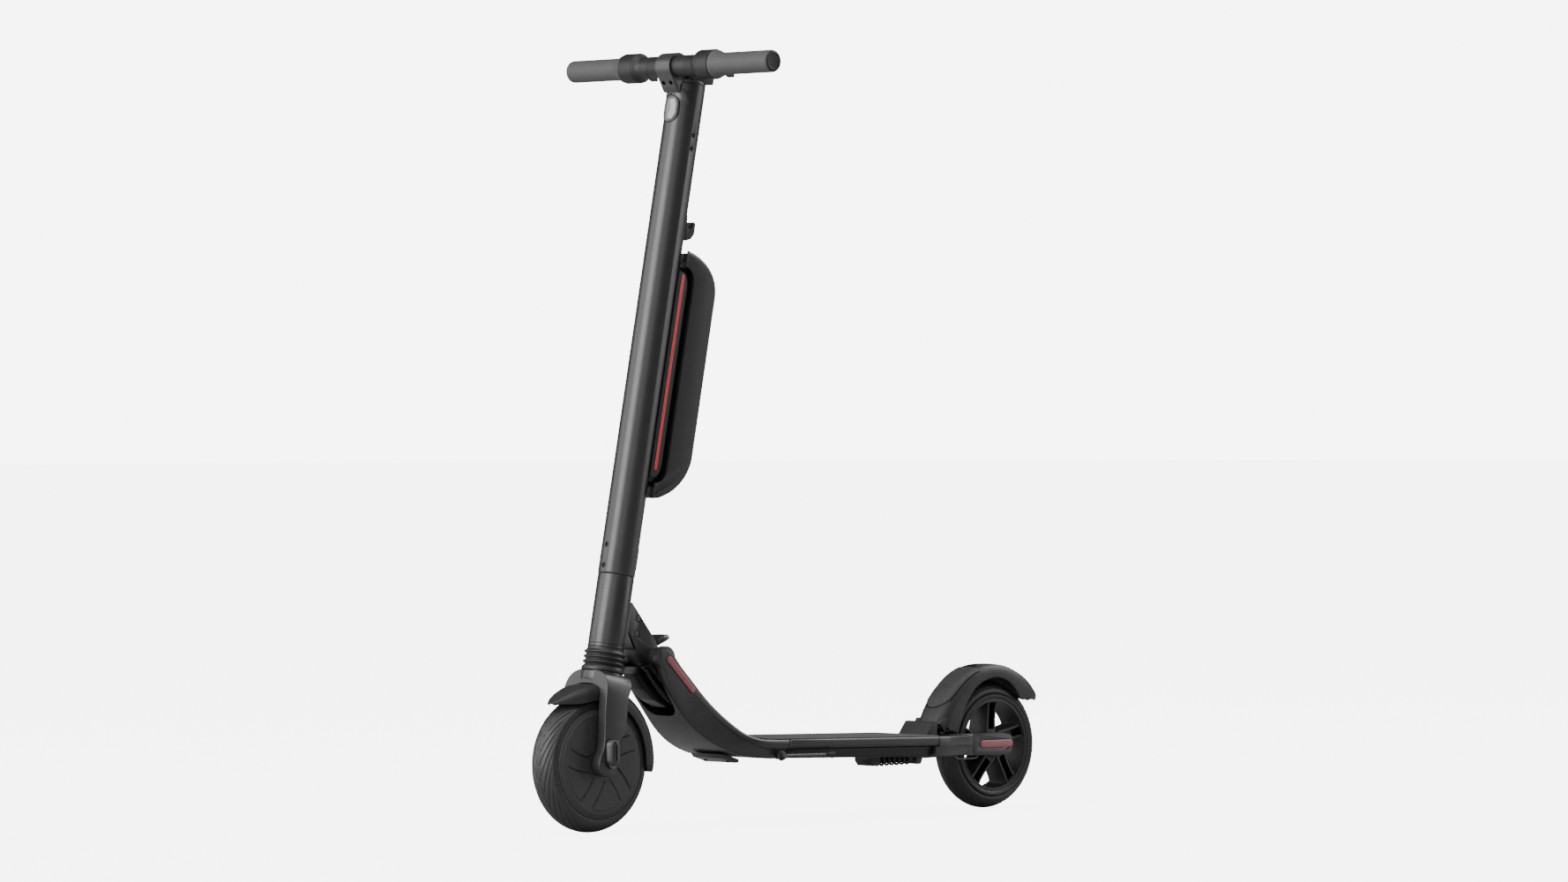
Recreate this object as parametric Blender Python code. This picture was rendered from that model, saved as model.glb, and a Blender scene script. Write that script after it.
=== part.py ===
"""Electric kick scooter with a stem-mounted battery pack, as separate solids.

Row frame: metres, +X forward, +Y to the rider's left, +Z up, origin at the
bottom centre of the bounding box.  Outlines are written in millimetres behind
(negative) or ahead (positive) of the front axle, with heights above the ground.
Everything on the steering column is written in the column's own frame: d ahead of
the steering axis, y to the left, s up the axis from the front axle.
"""
from math import cos, pi, radians, sin, sqrt

import bmesh
import bpy
from mathutils import Matrix, Vector

# ---------------------------------------------------------------- driving sizes
MM = 0.001
WHEELBASE = 816
FRONT_TYRE_R = 100
REAR_TYRE_R = 96.7
FRONT_AXLE_X = 411.8          # puts the origin midway between tyre front and fender tail
STEER_LEAN = radians(11.4)    # the column leans back, its axis through the front axle
STEM_R = 27
STEM_WALL = 2.5
HEAD_TUBE_R = 26.5
STEM_BOTTOM, STEM_TOP = 275.2, 1004
HEAD_BOTTOM, HEAD_TOP = 168.3, 274.8
BAR_D, BAR_S = 35.2, 1023.5   # handlebar centre in the column's frame
BAR_R = 15.8
HOUSING_R = 22
GRIP_R = 16.3
BAR_HALF = 215
FOLD_PIVOT = (-112, 250)
DECK_HALF = 75
DECK_SLOPE = 0.0243           # the deck rises to the front
DECK_TOP_AT, DECK_TOP_Z = -450, 121.8
DECK_BAND = 13.5
SWING_PIVOT = (-675, 92)
FENDER_PIVOT = (-706.5, 124.5)
PEDAL_PIVOT = (-121.5, 270)
KICKSTAND_PIVOT = (-314, 74.5, 101)
KICKSTAND_CANT = radians(15)
GAP = 0.3                     # clearance kept between neighbouring solids
FRONT_AXLE_Z = FRONT_TYRE_R
REAR_AXLE = (-WHEELBASE, REAR_TYRE_R)

COLORS = {
    "frame_black": ((0.035, 0.035, 0.037), 0.45, 0.6),
    "plastic_black": ((0.02, 0.02, 0.021), 0.5, 0.0),
    "rubber_black": ((0.016, 0.016, 0.016), 0.8, 0.0),
    "grip_grey": ((0.12, 0.12, 0.12), 0.75, 0.0),
    "mat_grey": ((0.09, 0.09, 0.09), 0.85, 0.0),
    "reflector_red": ((0.42, 0.06, 0.07), 0.3, 0.0),
    "stripe_red": ((0.55, 0.04, 0.04), 0.35, 0.0),
    "lens_silver": ((0.35, 0.35, 0.36), 0.2, 0.0),
    "steel": ((0.4, 0.4, 0.41), 0.35, 1.0),
    "copper": ((0.5, 0.25, 0.12), 0.4, 1.0),
    "cell_blue": ((0.05, 0.12, 0.3), 0.5, 0.0),
}


# ---------------------------------------------------------------- frames
def place(x, y, z):
    """A point behind or ahead of the front axle, in the row frame (mm)."""
    return Vector((FRONT_AXLE_X + x, y, z))


LEAN = Matrix(((cos(STEER_LEAN), 0, -sin(STEER_LEAN)), (0, 1, 0), (sin(STEER_LEAN), 0, cos(STEER_LEAN))))
COLUMN = Matrix.Translation(place(0, 0, FRONT_AXLE_Z)) @ LEAN.to_4x4()
AXLE_FRAME = Matrix.Translation(place(0, 0, 0))
ALONG_Y = Matrix(((1, 0, 0), (0, 0, 1), (0, -1, 0))).to_4x4()   # local +z becomes +Y


def cross_axle(x, z, base=AXLE_FRAME):
    """Frame of something turned about an axis along Y through (x, z)."""
    return base @ Matrix.Translation((x, 0, z)) @ ALONG_Y


def deck_top(x):
    return DECK_TOP_Z + DECK_SLOPE * (x - DECK_TOP_AT)


BODY_PIVOTS = {
    "deck": place(0, 0, 0),
    "head": place(FOLD_PIVOT[0], 0, FOLD_PIVOT[1]),
    "fold_pedal": place(PEDAL_PIVOT[0], 0, PEDAL_PIVOT[1]),
    "steer": place(0, 0, FRONT_AXLE_Z),
    "fork": place(0, 0, FRONT_AXLE_Z),
    "front_wheel": place(0, 0, FRONT_AXLE_Z),
    "throttle": COLUMN @ Vector((BAR_D, 0, BAR_S)),
    "brake": COLUMN @ Vector((BAR_D, 0, BAR_S)),
    "power_button": COLUMN @ Vector((-12, 0, 1020)),
    "charge_cap": COLUMN @ Vector((-29.6, 0, 287)),
    "swingarm": place(SWING_PIVOT[0], 0, SWING_PIVOT[1]),
    "rear_wheel": place(REAR_AXLE[0], 0, REAR_AXLE[1]),
    "rear_fender": place(FENDER_PIVOT[0], 0, FENDER_PIVOT[1]),
    "kickstand": place(*KICKSTAND_PIVOT),
}
BODY_PARENTS = {
    "head": "deck", "fold_pedal": "head", "steer": "head", "fork": "steer", "front_wheel": "fork",
    "throttle": "steer", "brake": "steer", "power_button": "steer", "charge_cap": "steer",
    "swingarm": "deck", "rear_wheel": "swingarm", "rear_fender": "swingarm", "kickstand": "deck",
}


# ---------------------------------------------------------------- solids
def skin_rings(rings, closed=False):
    """Bridge rings of equal length, and cap the ends unless the rings close on themselves."""
    bm = bmesh.new()
    loops = [[bm.verts.new(point) for point in ring] for ring in rings]
    pairs = list(zip(loops, loops[1:]))
    if closed:
        pairs.append((loops[-1], loops[0]))
    for low, high in pairs:
        for i in range(len(low)):
            j = (i + 1) % len(low)
            bm.faces.new((low[i], low[j], high[j], high[i]))
    if not closed:
        bm.faces.new(loops[0])
        bm.faces.new(loops[-1])
    bmesh.ops.recalc_face_normals(bm, faces=bm.faces)
    return bm


def turned(profile, segments=32, ring=False):
    """Profile of (radius, height): flat-ended and solid, or a closed ring's section."""
    angles = [2 * pi * i / segments for i in range(segments)]
    rings = [[(radius * cos(a), radius * sin(a), height) for a in angles] for radius, height in profile]
    return skin_rings(rings, closed=ring)


def disc(radius, low, high, segments=24):
    return turned([(radius, low), (radius, high)], segments)


def tube(outer, inner, low, high, segments=28):
    return turned([(inner, low), (outer, low), (outer, high), (inner, high)], segments, ring=True)


def side_prism(outline, y_low, y_high):
    """Outline of (x, z) points, extruded across the object."""
    return skin_rings([[(x, y, z) for x, z in outline] for y in (y_low, y_high)])


def box(x, y, z):
    return side_prism([(x[0], z[0]), (x[1], z[0]), (x[1], z[1]), (x[0], z[1])], y[0], y[1])


def capsule(start, end, radius, steps=6):
    """Outline of a slot with round ends, between two (x, z) points."""
    along = Vector((end[0] - start[0], end[1] - start[1])).normalized()
    across = Vector((-along.y, along.x))
    points = []
    for centre, sign in ((Vector(end), 1), (Vector(start), -1)):
        for i in range(steps + 1):
            angle = pi * i / steps
            points.append(centre + sign * radius * (sin(angle) * along - cos(angle) * across))
    return [(p.x, p.y) for p in points]


def rounded_rectangle(half_width, half_height, radius, steps=3):
    points = []
    corners = ((1, 1, 0), (-1, 1, 90), (-1, -1, 180), (1, -1, 270))
    for sign_x, sign_y, start in corners:
        for i in range(steps + 1):
            a = radians(start + 90 * i / steps)
            points.append((sign_x * (half_width - radius) + radius * cos(a),
                           sign_y * (half_height - radius) + radius * sin(a)))
    return points


def cross_section(upper, lower, half_upper, half_lower, radius):
    """A rounded section whose mid line runs between two (x, z) points."""
    up, low = Vector(upper), Vector(lower)
    middle, rise = (up + low) / 2, (up - low)
    half_height = rise.length / 2
    rise.normalize()
    ring = []
    widest = max(half_upper, half_lower)
    for u, v in rounded_rectangle(widest, half_height, radius):
        blend = (v / half_height + 1) / 2
        width = half_lower + (half_upper - half_lower) * blend
        point = middle + v * rise
        ring.append((point.x, u * width / widest, point.y))
    return ring


def wire(path, radius, sides=8):
    """A round wire along a path of points, with flat ends."""
    path = [Vector(p) for p in path]
    rings, normal = [], None
    for i, point in enumerate(path):
        ahead = (path[min(i + 1, len(path) - 1)] - path[max(i - 1, 0)]).normalized()
        if normal is None:
            normal = ahead.orthogonal().normalized()
        normal = (normal - ahead * normal.dot(ahead)).normalized()
        side = ahead.cross(normal)
        angles = [2 * pi * k / sides for k in range(sides)]
        rings.append([point + radius * (cos(a) * normal + sin(a) * side) for a in angles])
    return skin_rings(rings)


def helix(radius, start, length, turns, per_turn=12):
    """Points of a coil along +z."""
    count = turns * per_turn
    return [(radius * cos(2 * pi * i / per_turn), radius * sin(2 * pi * i / per_turn),
             start + length * i / count) for i in range(count + 1)]


# ---------------------------------------------------------------- objects
for old in list(bpy.data.objects):
    bpy.data.objects.remove(old, do_unlink=True)

MATERIALS = {}
EMPTIES = {}


def material(name):
    if name not in MATERIALS:
        color, roughness, metallic = COLORS[name]
        made = bpy.data.materials.new(name)
        made.use_nodes = True
        shader = made.node_tree.nodes["Principled BSDF"]
        shader.inputs["Base Color"].default_value = (*color, 1)
        shader.inputs["Roughness"].default_value = roughness
        shader.inputs["Metallic"].default_value = metallic
        MATERIALS[name] = made
    return MATERIALS[name]


def pivot_empty(body):
    if body not in EMPTIES:
        empty = bpy.data.objects.new(body + "_pivot", None)
        bpy.context.collection.objects.link(empty)
        parent = BODY_PARENTS.get(body)
        if parent:
            empty.parent = pivot_empty(parent)
            empty.location = (BODY_PIVOTS[body] - BODY_PIVOTS[parent]) * MM
        else:
            empty.location = BODY_PIVOTS[body] * MM
        EMPTIES[body] = empty
    return EMPTIES[body]


def solid(name, bm, frame, body, slot):
    """Put a mesh made in a local frame (mm) into the scene on its body's pivot."""
    bm.transform(Matrix.Scale(MM, 4) @ Matrix.Translation(-BODY_PIVOTS[body]) @ frame)
    mesh = bpy.data.meshes.new(name)
    bm.to_mesh(mesh)
    bm.free()
    mesh.materials.append(material(slot))
    mesh.shade_smooth()
    mesh.set_sharp_from_angle(angle=radians(35))
    made = bpy.data.objects.new(name, mesh)
    made.parent = pivot_empty(body)
    made["body"] = body
    bpy.context.collection.objects.link(made)
    return made


def boolean(target, bm, frame, operation):
    helper = solid(target.name + "_" + operation.lower(), bm, frame, target["body"], "steel")
    helper.hide_render = True
    helper.display_type = "WIRE"
    modifier = target.modifiers.new(operation.title(), "BOOLEAN")
    modifier.object = helper
    modifier.operation = operation


def cut(target, bm, frame):
    boolean(target, bm, frame, "DIFFERENCE")


def join(target, bm, frame):
    boolean(target, bm, frame, "UNION")


def stem_clearance(low, high):
    """Cutter that makes a piece hug the stem tube."""
    return disc(STEM_R + GAP + 0.2, low, high, 48)


# ---------------------------------------------------------------- deck and neck
NECK_SECTIONS = [  # upper point, lower point, half width above, half width below
    ((-125.5, 260.5), (-101.5, 236.5), 45, 45), ((-144, 238), (-109, 218), 45, 45),
    ((-165, 217), (-121, 199), 45, 45), ((-186, 196), (-135, 181), 45, 45),
    ((-205, 177.5), (-149, 164), 47.5, 46), ((-222, 162), (-165, 147.5), 52, 49),
    ((-240, 147.5), (-182, 134), 57, 53), ((-256, 136.5), (-203, 121), 62, 57),
    ((-270, 130), (-228, 110), 68, 61), ((-284, 126.5), (-258, 101.5), 73, 64),
    ((-305, deck_top(-305)), (-300, 97), 75, 65), ((-334, deck_top(-334)), (-334, 96), 75, 65),
]
DECK_STATIONS = [(-334.5, 75), (-640, 75), (-668, 72), (-686, 65), (-700, 55)]


def make_deck_frame():
    rings = [cross_section(up, low, wide, narrow, 8) for up, low, wide, narrow in NECK_SECTIONS]
    for x, half in DECK_STATIONS:
        top = deck_top(x)
        rings.append(cross_section((x, top), (x, top - DECK_BAND), half, half - 2, 4))
    frame = solid("deck_frame", skin_rings(rings), AXLE_FRAME, "deck", "frame_black")
    px, pz = FOLD_PIVOT
    join(frame, disc(17, -44.6, 44.6, 32), cross_axle(px, pz))
    # the recess: a U seen from the front, running back to a sloping inner wall
    half_u = [(34.5, 290), (34.5, 190), (30, 174), (20, 166), (8, 163.5)]
    outline = half_u + [(-y, z) for y, z in reversed(half_u)]
    wall = [(z - 369, y, z) for y, z in outline]
    cut(frame, skin_rings([[(-40, y, z) for y, z in outline], wall]), AXLE_FRAME)
    cut(frame, disc(19.5, -34.2, 34.2, 32), cross_axle(px, pz))
    cut(frame, box((-168, -126), (-22.5, 22.5), (201, 275)), AXLE_FRAME)
    cut(frame, disc(5.5, -50, 50, 20), cross_axle(px, pz))
    for side in (-1, 1):  # lugs under the rear end that carry the swingarm
        y = sorted((side * 48.5, side * 55))
        join(frame, box((-684, -666), y, (85, 106)), AXLE_FRAME)
    cut(frame, disc(4.4, -60, 60, 20), cross_axle(*SWING_PIVOT))
    bolt = turned([(3, -18), (3, 3.6), (5.5, 3.6), (5.5, 5.4)], 12)
    join(frame, bolt, kickstand_frame())


def kickstand_frame():
    x, y, z = KICKSTAND_PIVOT
    cant = Matrix.Rotation(KICKSTAND_CANT, 4, "X")
    return AXLE_FRAME @ Matrix.Translation((x, y, z)) @ cant @ ALONG_Y


def make_deck_covers():
    stations = [(-334.8, 65), (-360, 66), (-600, 66), (-640, 63), (-658, 58)]
    outer = []
    for x, half in stations:
        top = deck_top(x) - DECK_BAND - GAP
        bottom = 96 - (-334 - x) * 0.031
        outer.append(cross_section((x, top), (x, bottom), half, half - 9, 4))
    cover = solid("deck_bottom_cover", skin_rings(outer), AXLE_FRAME, "deck", "plastic_black")
    cut(cover, box((-530, -396), (-50, 50), (96.6, 125)), AXLE_FRAME)
    solid("motor_controller", box((-520, -402), (-38, 38), (97, 105.5)), AXLE_FRAME, "deck", "steel")
    mat_rings = []
    for x, half in ((-300, 66), (-308, 70.5), (-640, 70.5), (-652, 66)):
        low = deck_top(x) + GAP
        mat_rings.append([(x, -half, low), (x, half, low), (x, half, low + 1.5), (x, -half, low + 1.5)])
    solid("deck_mat", skin_rings(mat_rings), AXLE_FRAME, "deck", "mat_grey")
    solid("skid_plate", skin_rings([
        [(x, y, z) for x, z in ((-232, 105), (-236, 99), (-262, 91.5), (-268, 92.5), (-268, 96.5), (-262, 98.3),
                                (-240, 104.8))]
        for y in (-32, 32)]), AXLE_FRAME, "deck", "frame_black")
    nose = [(-661, deck_top(-661) + GAP), (-676, 137), (-684, 137), (-684, deck_top(-684) + GAP)]
    solid("rear_nose_cover", side_prism(nose, -30, 30), AXLE_FRAME, "deck", "plastic_black")
    seat = [(-553, 95), (-553, 82), (-559, 74), (-576, 74), (-576, 95)]
    join(cover, side_prism(seat, -15, 15), AXLE_FRAME)
    cut(cover, box((-665, -576.3), (-12.6, 12.6), (60, 96.5)), AXLE_FRAME)
    coil = wire(helix(8.5, 0, 75, 7, 9), 1.9, 6)
    spring_frame = AXLE_FRAME @ Matrix.Translation((-578.5, 0, 82.5)) @ Matrix.Rotation(-pi / 2, 4, "Y")
    solid("rear_spring", coil, spring_frame, "deck", "steel")
    solid("swingarm_pin", disc(4, -57, 57, 20), cross_axle(*SWING_PIVOT), "deck", "steel")


def make_neck_pieces():
    for side, name in ((1, "neck_reflector_left"), (-1, "neck_reflector_right")):
        y = sorted((side * (45 + GAP), side * 46.8))
        outline = capsule((-117.5, 248), (-164, 203), 4.2)
        solid(name, side_prism(outline, *y), AXLE_FRAME, "deck", "reflector_red")
    latch = [(-84, 239), (-80, 226), (-96, 204), (-114, 188), (-140, 176), (-156, 180), (-148, 196),
             (-132, 212), (-120, 224), (-104, 227)]
    solid("fold_latch", side_prism(latch, -15, 15), AXLE_FRAME, "deck", "plastic_black")
    route = [(-90, 25, 232), (-97, 25.5, 222), (-106, 26, 211), (-116, 26, 201), (-127, 25.5, 192),
             (-139, 25, 185), (-151, 24, 180), (-163, 23, 177)]
    solid("cable_sleeve", wire(route, 3, 10), AXLE_FRAME, "deck", "rubber_black")


def make_kickstand():
    leg = solid("kickstand_leg", tube(7, 3.6, -2, 3, 20), kickstand_frame(), "kickstand", "frame_black")
    x, y, z = KICKSTAND_PIVOT
    path = [(x - 4.5, y + 0.3, z - 0.2), (x - 30, y + 0.5, z - 0.6), (x - 92, y + 0.5, z - 1.8),
            (x - 104, y + 1.2, z - 1)]
    join(leg, wire(path, 3.4, 10), AXLE_FRAME)


# ---------------------------------------------------------------- folding head
def make_head():
    outline = [(-50, 331), (-67.5, 331), (-111, 277.5), (-125.2, 254), (-125.8, 247), (-122, 240.5),
               (-115, 236.5), (-106, 237.5), (-98, 243), (-78, 262.5), (-50, 268)]
    head = solid("head_block", disc(HEAD_TUBE_R, HEAD_BOTTOM, HEAD_TOP, 40), COLUMN, "head", "frame_black")
    join(head, side_prism(outline, -20, 20), AXLE_FRAME)
    join(head, disc(14, -33.8, 33.8, 28), cross_axle(*FOLD_PIVOT))
    cut(head, disc(22, HEAD_BOTTOM - 5, HEAD_TOP + 5, 32), COLUMN)
    cut(head, disc(5.4, -40, 40, 20), cross_axle(*FOLD_PIVOT))
    solid("fold_hinge_pin", disc(5, -44, 44, 20), cross_axle(*FOLD_PIVOT), "head", "steel")
    for name, low in (("headset_bearing_lower", 170), ("headset_bearing_upper", 265)):
        solid(name, tube(21.5, 16.4, low, low + 8, 32), COLUMN, "head", "steel")
    pedal = [(-118, 268.5), (-123.5, 266.5), (-130, 269), (-141, 274), (-149, 279.3), (-147, 282.3),
             (-136, 282.4), (-125, 279), (-119, 274)]
    solid("fold_pedal", side_prism(pedal, -18, 18), AXLE_FRAME, "fold_pedal", "frame_black")


# ---------------------------------------------------------------- steering column
def make_stem():
    steerer = [(13.5, 150), (16, 150), (16, 276), (24.1, 276), (24.1, 322), (13.5, 322)]
    solid("steerer_tube", turned([(r, s) for r, s in steerer], 24, ring=True), COLUMN, "steer", "steel")
    solid("stem_tube", tube(STEM_R, STEM_R - STEM_WALL, STEM_BOTTOM, STEM_TOP, 40), COLUMN, "steer",
          "frame_black")
    solid("main_battery", disc(21, 345, 905, 20), COLUMN, "steer", "cell_blue")
    cap = solid("stem_cap", turned([(24, 962), (24, STEM_TOP + GAP), (STEM_R - 0.5, STEM_TOP + GAP),
                                    (STEM_R - 0.5, 1009)], 40),
                COLUMN, "steer", "frame_black")
    # the nose reaches forward from the cap and wraps over the bar
    nose = [(10, 1005), (STEM_R + 0.6, 1004.6), (27.6, 988), (31, 988), (44, 1004)]
    nose += [(BAR_D + 20 * cos(radians(a)), BAR_S + 20 * sin(radians(a))) for a in (-45, -15, 15, 45, 75, 100)]
    nose += [(22, 1041), (16.5, 1034), (14.8, 1024), (16, 1009), (10, 1009)]
    join(cap, side_prism(nose, -15, 15), COLUMN)
    cut(cap, disc(BAR_R + GAP, -30, 30, 32), cross_axle(BAR_D, BAR_S, COLUMN))


def make_stem_fittings():
    lens = solid("headlight_lens", front_pad(capsule((0, 951.5), (0, 973.5), 12.5), 15, 31), COLUMN, "steer",
                 "lens_silver")
    cut(lens, stem_clearance(930, 990), COLUMN)
    hook = [(-20, 779), (-20, 816), (-31, 816), (-32.5, 801), (-37, 796.5), (-42, 800), (-43, 807),
            (-46, 809), (-49, 806), (-49, 791), (-44, 783), (-36, 779)]
    stem_hook = solid("stem_hook", side_prism(hook, -8, 8), COLUMN, "steer", "plastic_black")
    cut(stem_hook, stem_clearance(770, 825), COLUMN)
    cap = [(-20, 286.3), (-29.5, 286.3), (-30.6, 289), (-30.6, 319), (-29.5, 322), (-20, 322)]
    charge_cap = solid("charge_cap", side_prism(cap, -8, 8), COLUMN, "charge_cap", "rubber_black")
    cut(charge_cap, stem_clearance(280, 330), COLUMN)


def front_pad(outline, d_low, d_high):
    """Outline of (y, s) points facing forward, extruded along d."""
    return skin_rings([[(d, y, s) for y, s in outline] for d in (d_low, d_high)])


PACK_LOW, PACK_HIGH = 389.5, 763.5
PACK_DEPTH = 91


def pack_outline(front, inset):
    """Side view of the pack behind the d = front line, all round edges drawn in by inset."""
    lower_run, upper_run, fall = 78 - inset, 63 - inset, PACK_DEPTH - inset - 4
    low_centre, high_centre = PACK_LOW + 78, PACK_HIGH - 63
    points = []
    steps = 8
    for i in range(steps + 1):
        a = radians(20 + 70 * i / steps)
        points.append((-4 - fall * sin(a) ** (2 / 1.9), low_centre - lower_run * cos(a) ** (2 / 1.9)))
    for i in range(steps + 1):
        a = radians(90 - 70 * i / steps)
        points.append((-4 - fall * sin(a) ** (2 / 2.3), high_centre + upper_run * cos(a) ** (2 / 2.3)))
    clipped = [(min(d, front), s) for d, s in points]
    return [(front, clipped[0][1])] + clipped + [(front, clipped[-1][1])]


def pack_solid(front, shrink, layers):
    """Pack shell from side outlines stacked across it: (y, inset) pairs, mirrored."""
    full = [(-y, inset) for y, inset in layers] + [(y, inset) for y, inset in reversed(layers)]
    rings = []
    for y, inset in full:
        rings.append([(d, y, s) for d, s in pack_outline(front, inset + shrink)[1:-1]])
    return skin_rings(rings)


def make_pack():
    shell = solid("pack_shell", pack_solid(-37, 0, [(32, 9), (30.5, 4.5), (27, 1.5), (21, 0)]), COLUMN, "steer",
                  "plastic_black")
    cut(shell, pack_cavity(), COLUMN)
    cells = [(-48, 470), (-80, 470), (-84, 480), (-84, 690), (-80, 700), (-48, 700)]
    solid("pack_cells", side_prism(cells, -23, 23), COLUMN, "steer", "cell_blue")
    saddle_outline = [(-14, 408)] + [(-18, 400), (-26, 397), (-36.7, 402), (-36.7, 756), (-26, 759),
                                     (-18, 756), (-14, 748)]
    saddle = solid("pack_saddle", side_prism(saddle_outline, -26.9, 26.9), COLUMN, "steer", "plastic_black")
    cut(saddle, stem_clearance(380, 780), COLUMN)
    for side, name in ((1, "pack_stripe_left"), (-1, "pack_stripe_right")):
        y = sorted((side * (26.9 + GAP), side * 28.4))
        outline = capsule((-21.5, 437.3), (-21.5, 722.7), 2.3, 4)
        solid(name, side_prism(outline, *y), COLUMN, "steer", "stripe_red")


def pack_cavity():
    inner = [(-30, 462), (-78, 462), (-87.5, 480), (-87.5, 692), (-78, 712), (-30, 712)]
    return side_prism(inner, -26, 26)


# ---------------------------------------------------------------- handlebar
def bar_frame():
    return cross_axle(BAR_D, BAR_S, COLUMN)


def make_handlebar():
    half = [(BAR_R, 0), (BAR_R, 52), (18.5, 59), (HOUSING_R, 66), (HOUSING_R, 67), (12, 67), (12, 205)]
    outer = [(r, -y) for r, y in reversed(half[1:])] + half
    inner = [(9.5, 205), (9.5, -205)]
    solid("handlebar_tube", turned(outer + inner, 28, ring=True), bar_frame(), "steer", "frame_black")
    for side, tag in ((1, "left"), (-1, "right")):
        grip = [(12.3, 95), (21, 95), (21, 97), (16.8, 106), (GRIP_R, 112), (GRIP_R, 203), (15.6, 204.7),
                (12.3, 204.7)]
        solid("grip_" + tag, turned([(r, side * y) for r, y in grip], 24, ring=True), bar_frame(), "steer",
              "grip_grey")
        end = [(9.2, 190), (9.2, 205.3), (15.8, 205.3), (15.8, 212), (13.5, BAR_HALF)]
        solid("bar_end_" + tag, turned([(r, side * y) for r, y in end], 24), bar_frame(), "steer",
              "plastic_black")
    for side, control in ((-1, "throttle"), (1, "brake")):
        ring = [(12.3, 67.4), (HOUSING_R, 67.4), (HOUSING_R, 94.6), (12.3, 94.6), (12.3, 90), (18.2, 90),
                (18.2, 73), (12.3, 73)]
        housing = solid(control + "_housing", turned([(r, side * y) for r, y in ring], 28, ring=True),
                        bar_frame(), "steer", "plastic_black")
        slot = [(-30, 15), (-10, 8), (-5, -18), (-16, -40), (-34, -34)]
        y = sorted((side * 75, side * 88))
        cut(housing, side_prism([(BAR_D + d, BAR_S + s) for d, s in slot], *y), COLUMN)
        y = sorted((side * 76, side * 87))
        lever = solid(control + "_lever", tube(17.4, 12.6, y[0], y[1], 28), bar_frame(), control,
                      "plastic_black")
        paddle = [(-15.5, 3.5), (-30, 1.5), (-43, -3), (-46, -7), (-44, -9.5), (-30, -6), (-15, -5)]
        join(lever, side_prism([(BAR_D + d, BAR_S + s) for d, s in paddle], *y), COLUMN)
    dash = [(-29, 1009.6), (-29, 1022), (-26, 1025), (10, 1032), (13, 1031), (13.8, 1024), (15.2, 1009.6)]
    housing = solid("dash_housing", side_prism(dash, -24, 24), COLUMN, "steer", "plastic_black")
    cut(housing, disc(5.5, 1018, 1040, 20), COLUMN @ Matrix.Translation((-12, 0, 0)))
    solid("power_button", disc(5.1, 1020.5, 1029.6, 20), COLUMN @ Matrix.Translation((-12, 0, 0)),
          "power_button", "plastic_black")


# ---------------------------------------------------------------- fork and front wheel
def make_fork():
    leg = [(-8, 224), (1, 213), (10.6, 186), (10.7, 160), (14.2, 122), (19, 104), (18, 92), (11, 84), (2, 82),
           (-7, 84.5), (-12, 94), (-12, 126), (-20, 136.5), (-32, 151), (-33.3, 184), (-33.5, 206), (-36, 219)]
    crown_rings = []
    for s, d_low, d_high, half, radius in ((119.8, -21, 24, 47.5, 9), (124, -22, 24, 46, 10),
                                           (129, -28, 28, 38, 26), (132.8, -31, 31, 31, 30.5)):
        middle, depth = (d_low + d_high) / 2, (d_high - d_low) / 2
        crown_rings.append([(middle + u, v, s) for u, v in rounded_rectangle(depth, half, radius, 5)])
    fork = solid("fork", skin_rings(crown_rings), COLUMN, "fork", "frame_black")
    for side in (-1, 1):
        join(fork, side_prism(leg, *sorted((side * 31.5, side * 47.8))), AXLE_FRAME)
    join(fork, disc(13, 125, 205, 28), COLUMN)
    join(fork, disc(11, 115.8, 123, 20), COLUMN)
    cut(fork, disc(6.4, -60, 60, 20), cross_axle(0, FRONT_AXLE_Z))
    solid("front_axle", disc(6, -52, 52, 20), cross_axle(0, FRONT_AXLE_Z), "fork", "steel")
    for side, name in ((1, "axle_cover_left"), (-1, "axle_cover_right")):
        cover = solid(name, side_prism(capsule((0, 107), (0, 127), 10), *sorted((side * 48.1, side * 55))),
                      AXLE_FRAME, "fork", "frame_black")
        cut(cover, disc(6.4, -52.4, 52.4, 20), cross_axle(0, FRONT_AXLE_Z))
    solid("fork_spring", wire(helix(9.5, 207.5, 112, 7, 9), 1.7, 5), COLUMN, "fork", "steel")
    pleats = [(20, 134), (30.5, 134), (30.5, 137), (27.2, 140), (30.3, 143), (27.2, 146.6), (30.2, 150),
              (27.2, 153.5), (29.8, 156.6), (26.6, 160), (26.6, 167.8), (20, 167.8)]
    solid("bellows", turned(pleats, 28, ring=True), COLUMN, "fork", "rubber_black")


def arch_section(outer, edge, half, wall, steps=5):
    """Fender section as (radius, y) points: outer skin one way, inner skin back."""
    shoulder = min(20, half * 0.7, (outer - edge) * 0.7)
    skins = []
    for shrink in (0, wall):
        ring = [(edge, half - shrink)]
        for i in range(steps + 1):
            a = radians(90 * i / steps)
            ring.append((outer - shrink - shoulder + shoulder * sin(a),
                         half - shrink - shoulder + shoulder * cos(a)))
        ring.append((outer - shrink + 0.6, 0))
        skins.append(ring + [(r, -y) for r, y in reversed(ring[:-1])])
    return skins[0] + skins[1][::-1]


def fender(stations, centre):
    """Loft fender sections; each station is (angle above +X, outer, edge, half width)."""
    rings = []
    for angle, outer, edge, half in stations:
        a = radians(angle)
        section = arch_section(outer, edge, half, 2.4)
        rings.append([(centre[0] + r * cos(a), y, centre[1] + r * sin(a)) for r, y in section])
    return skin_rings(rings)


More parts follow.
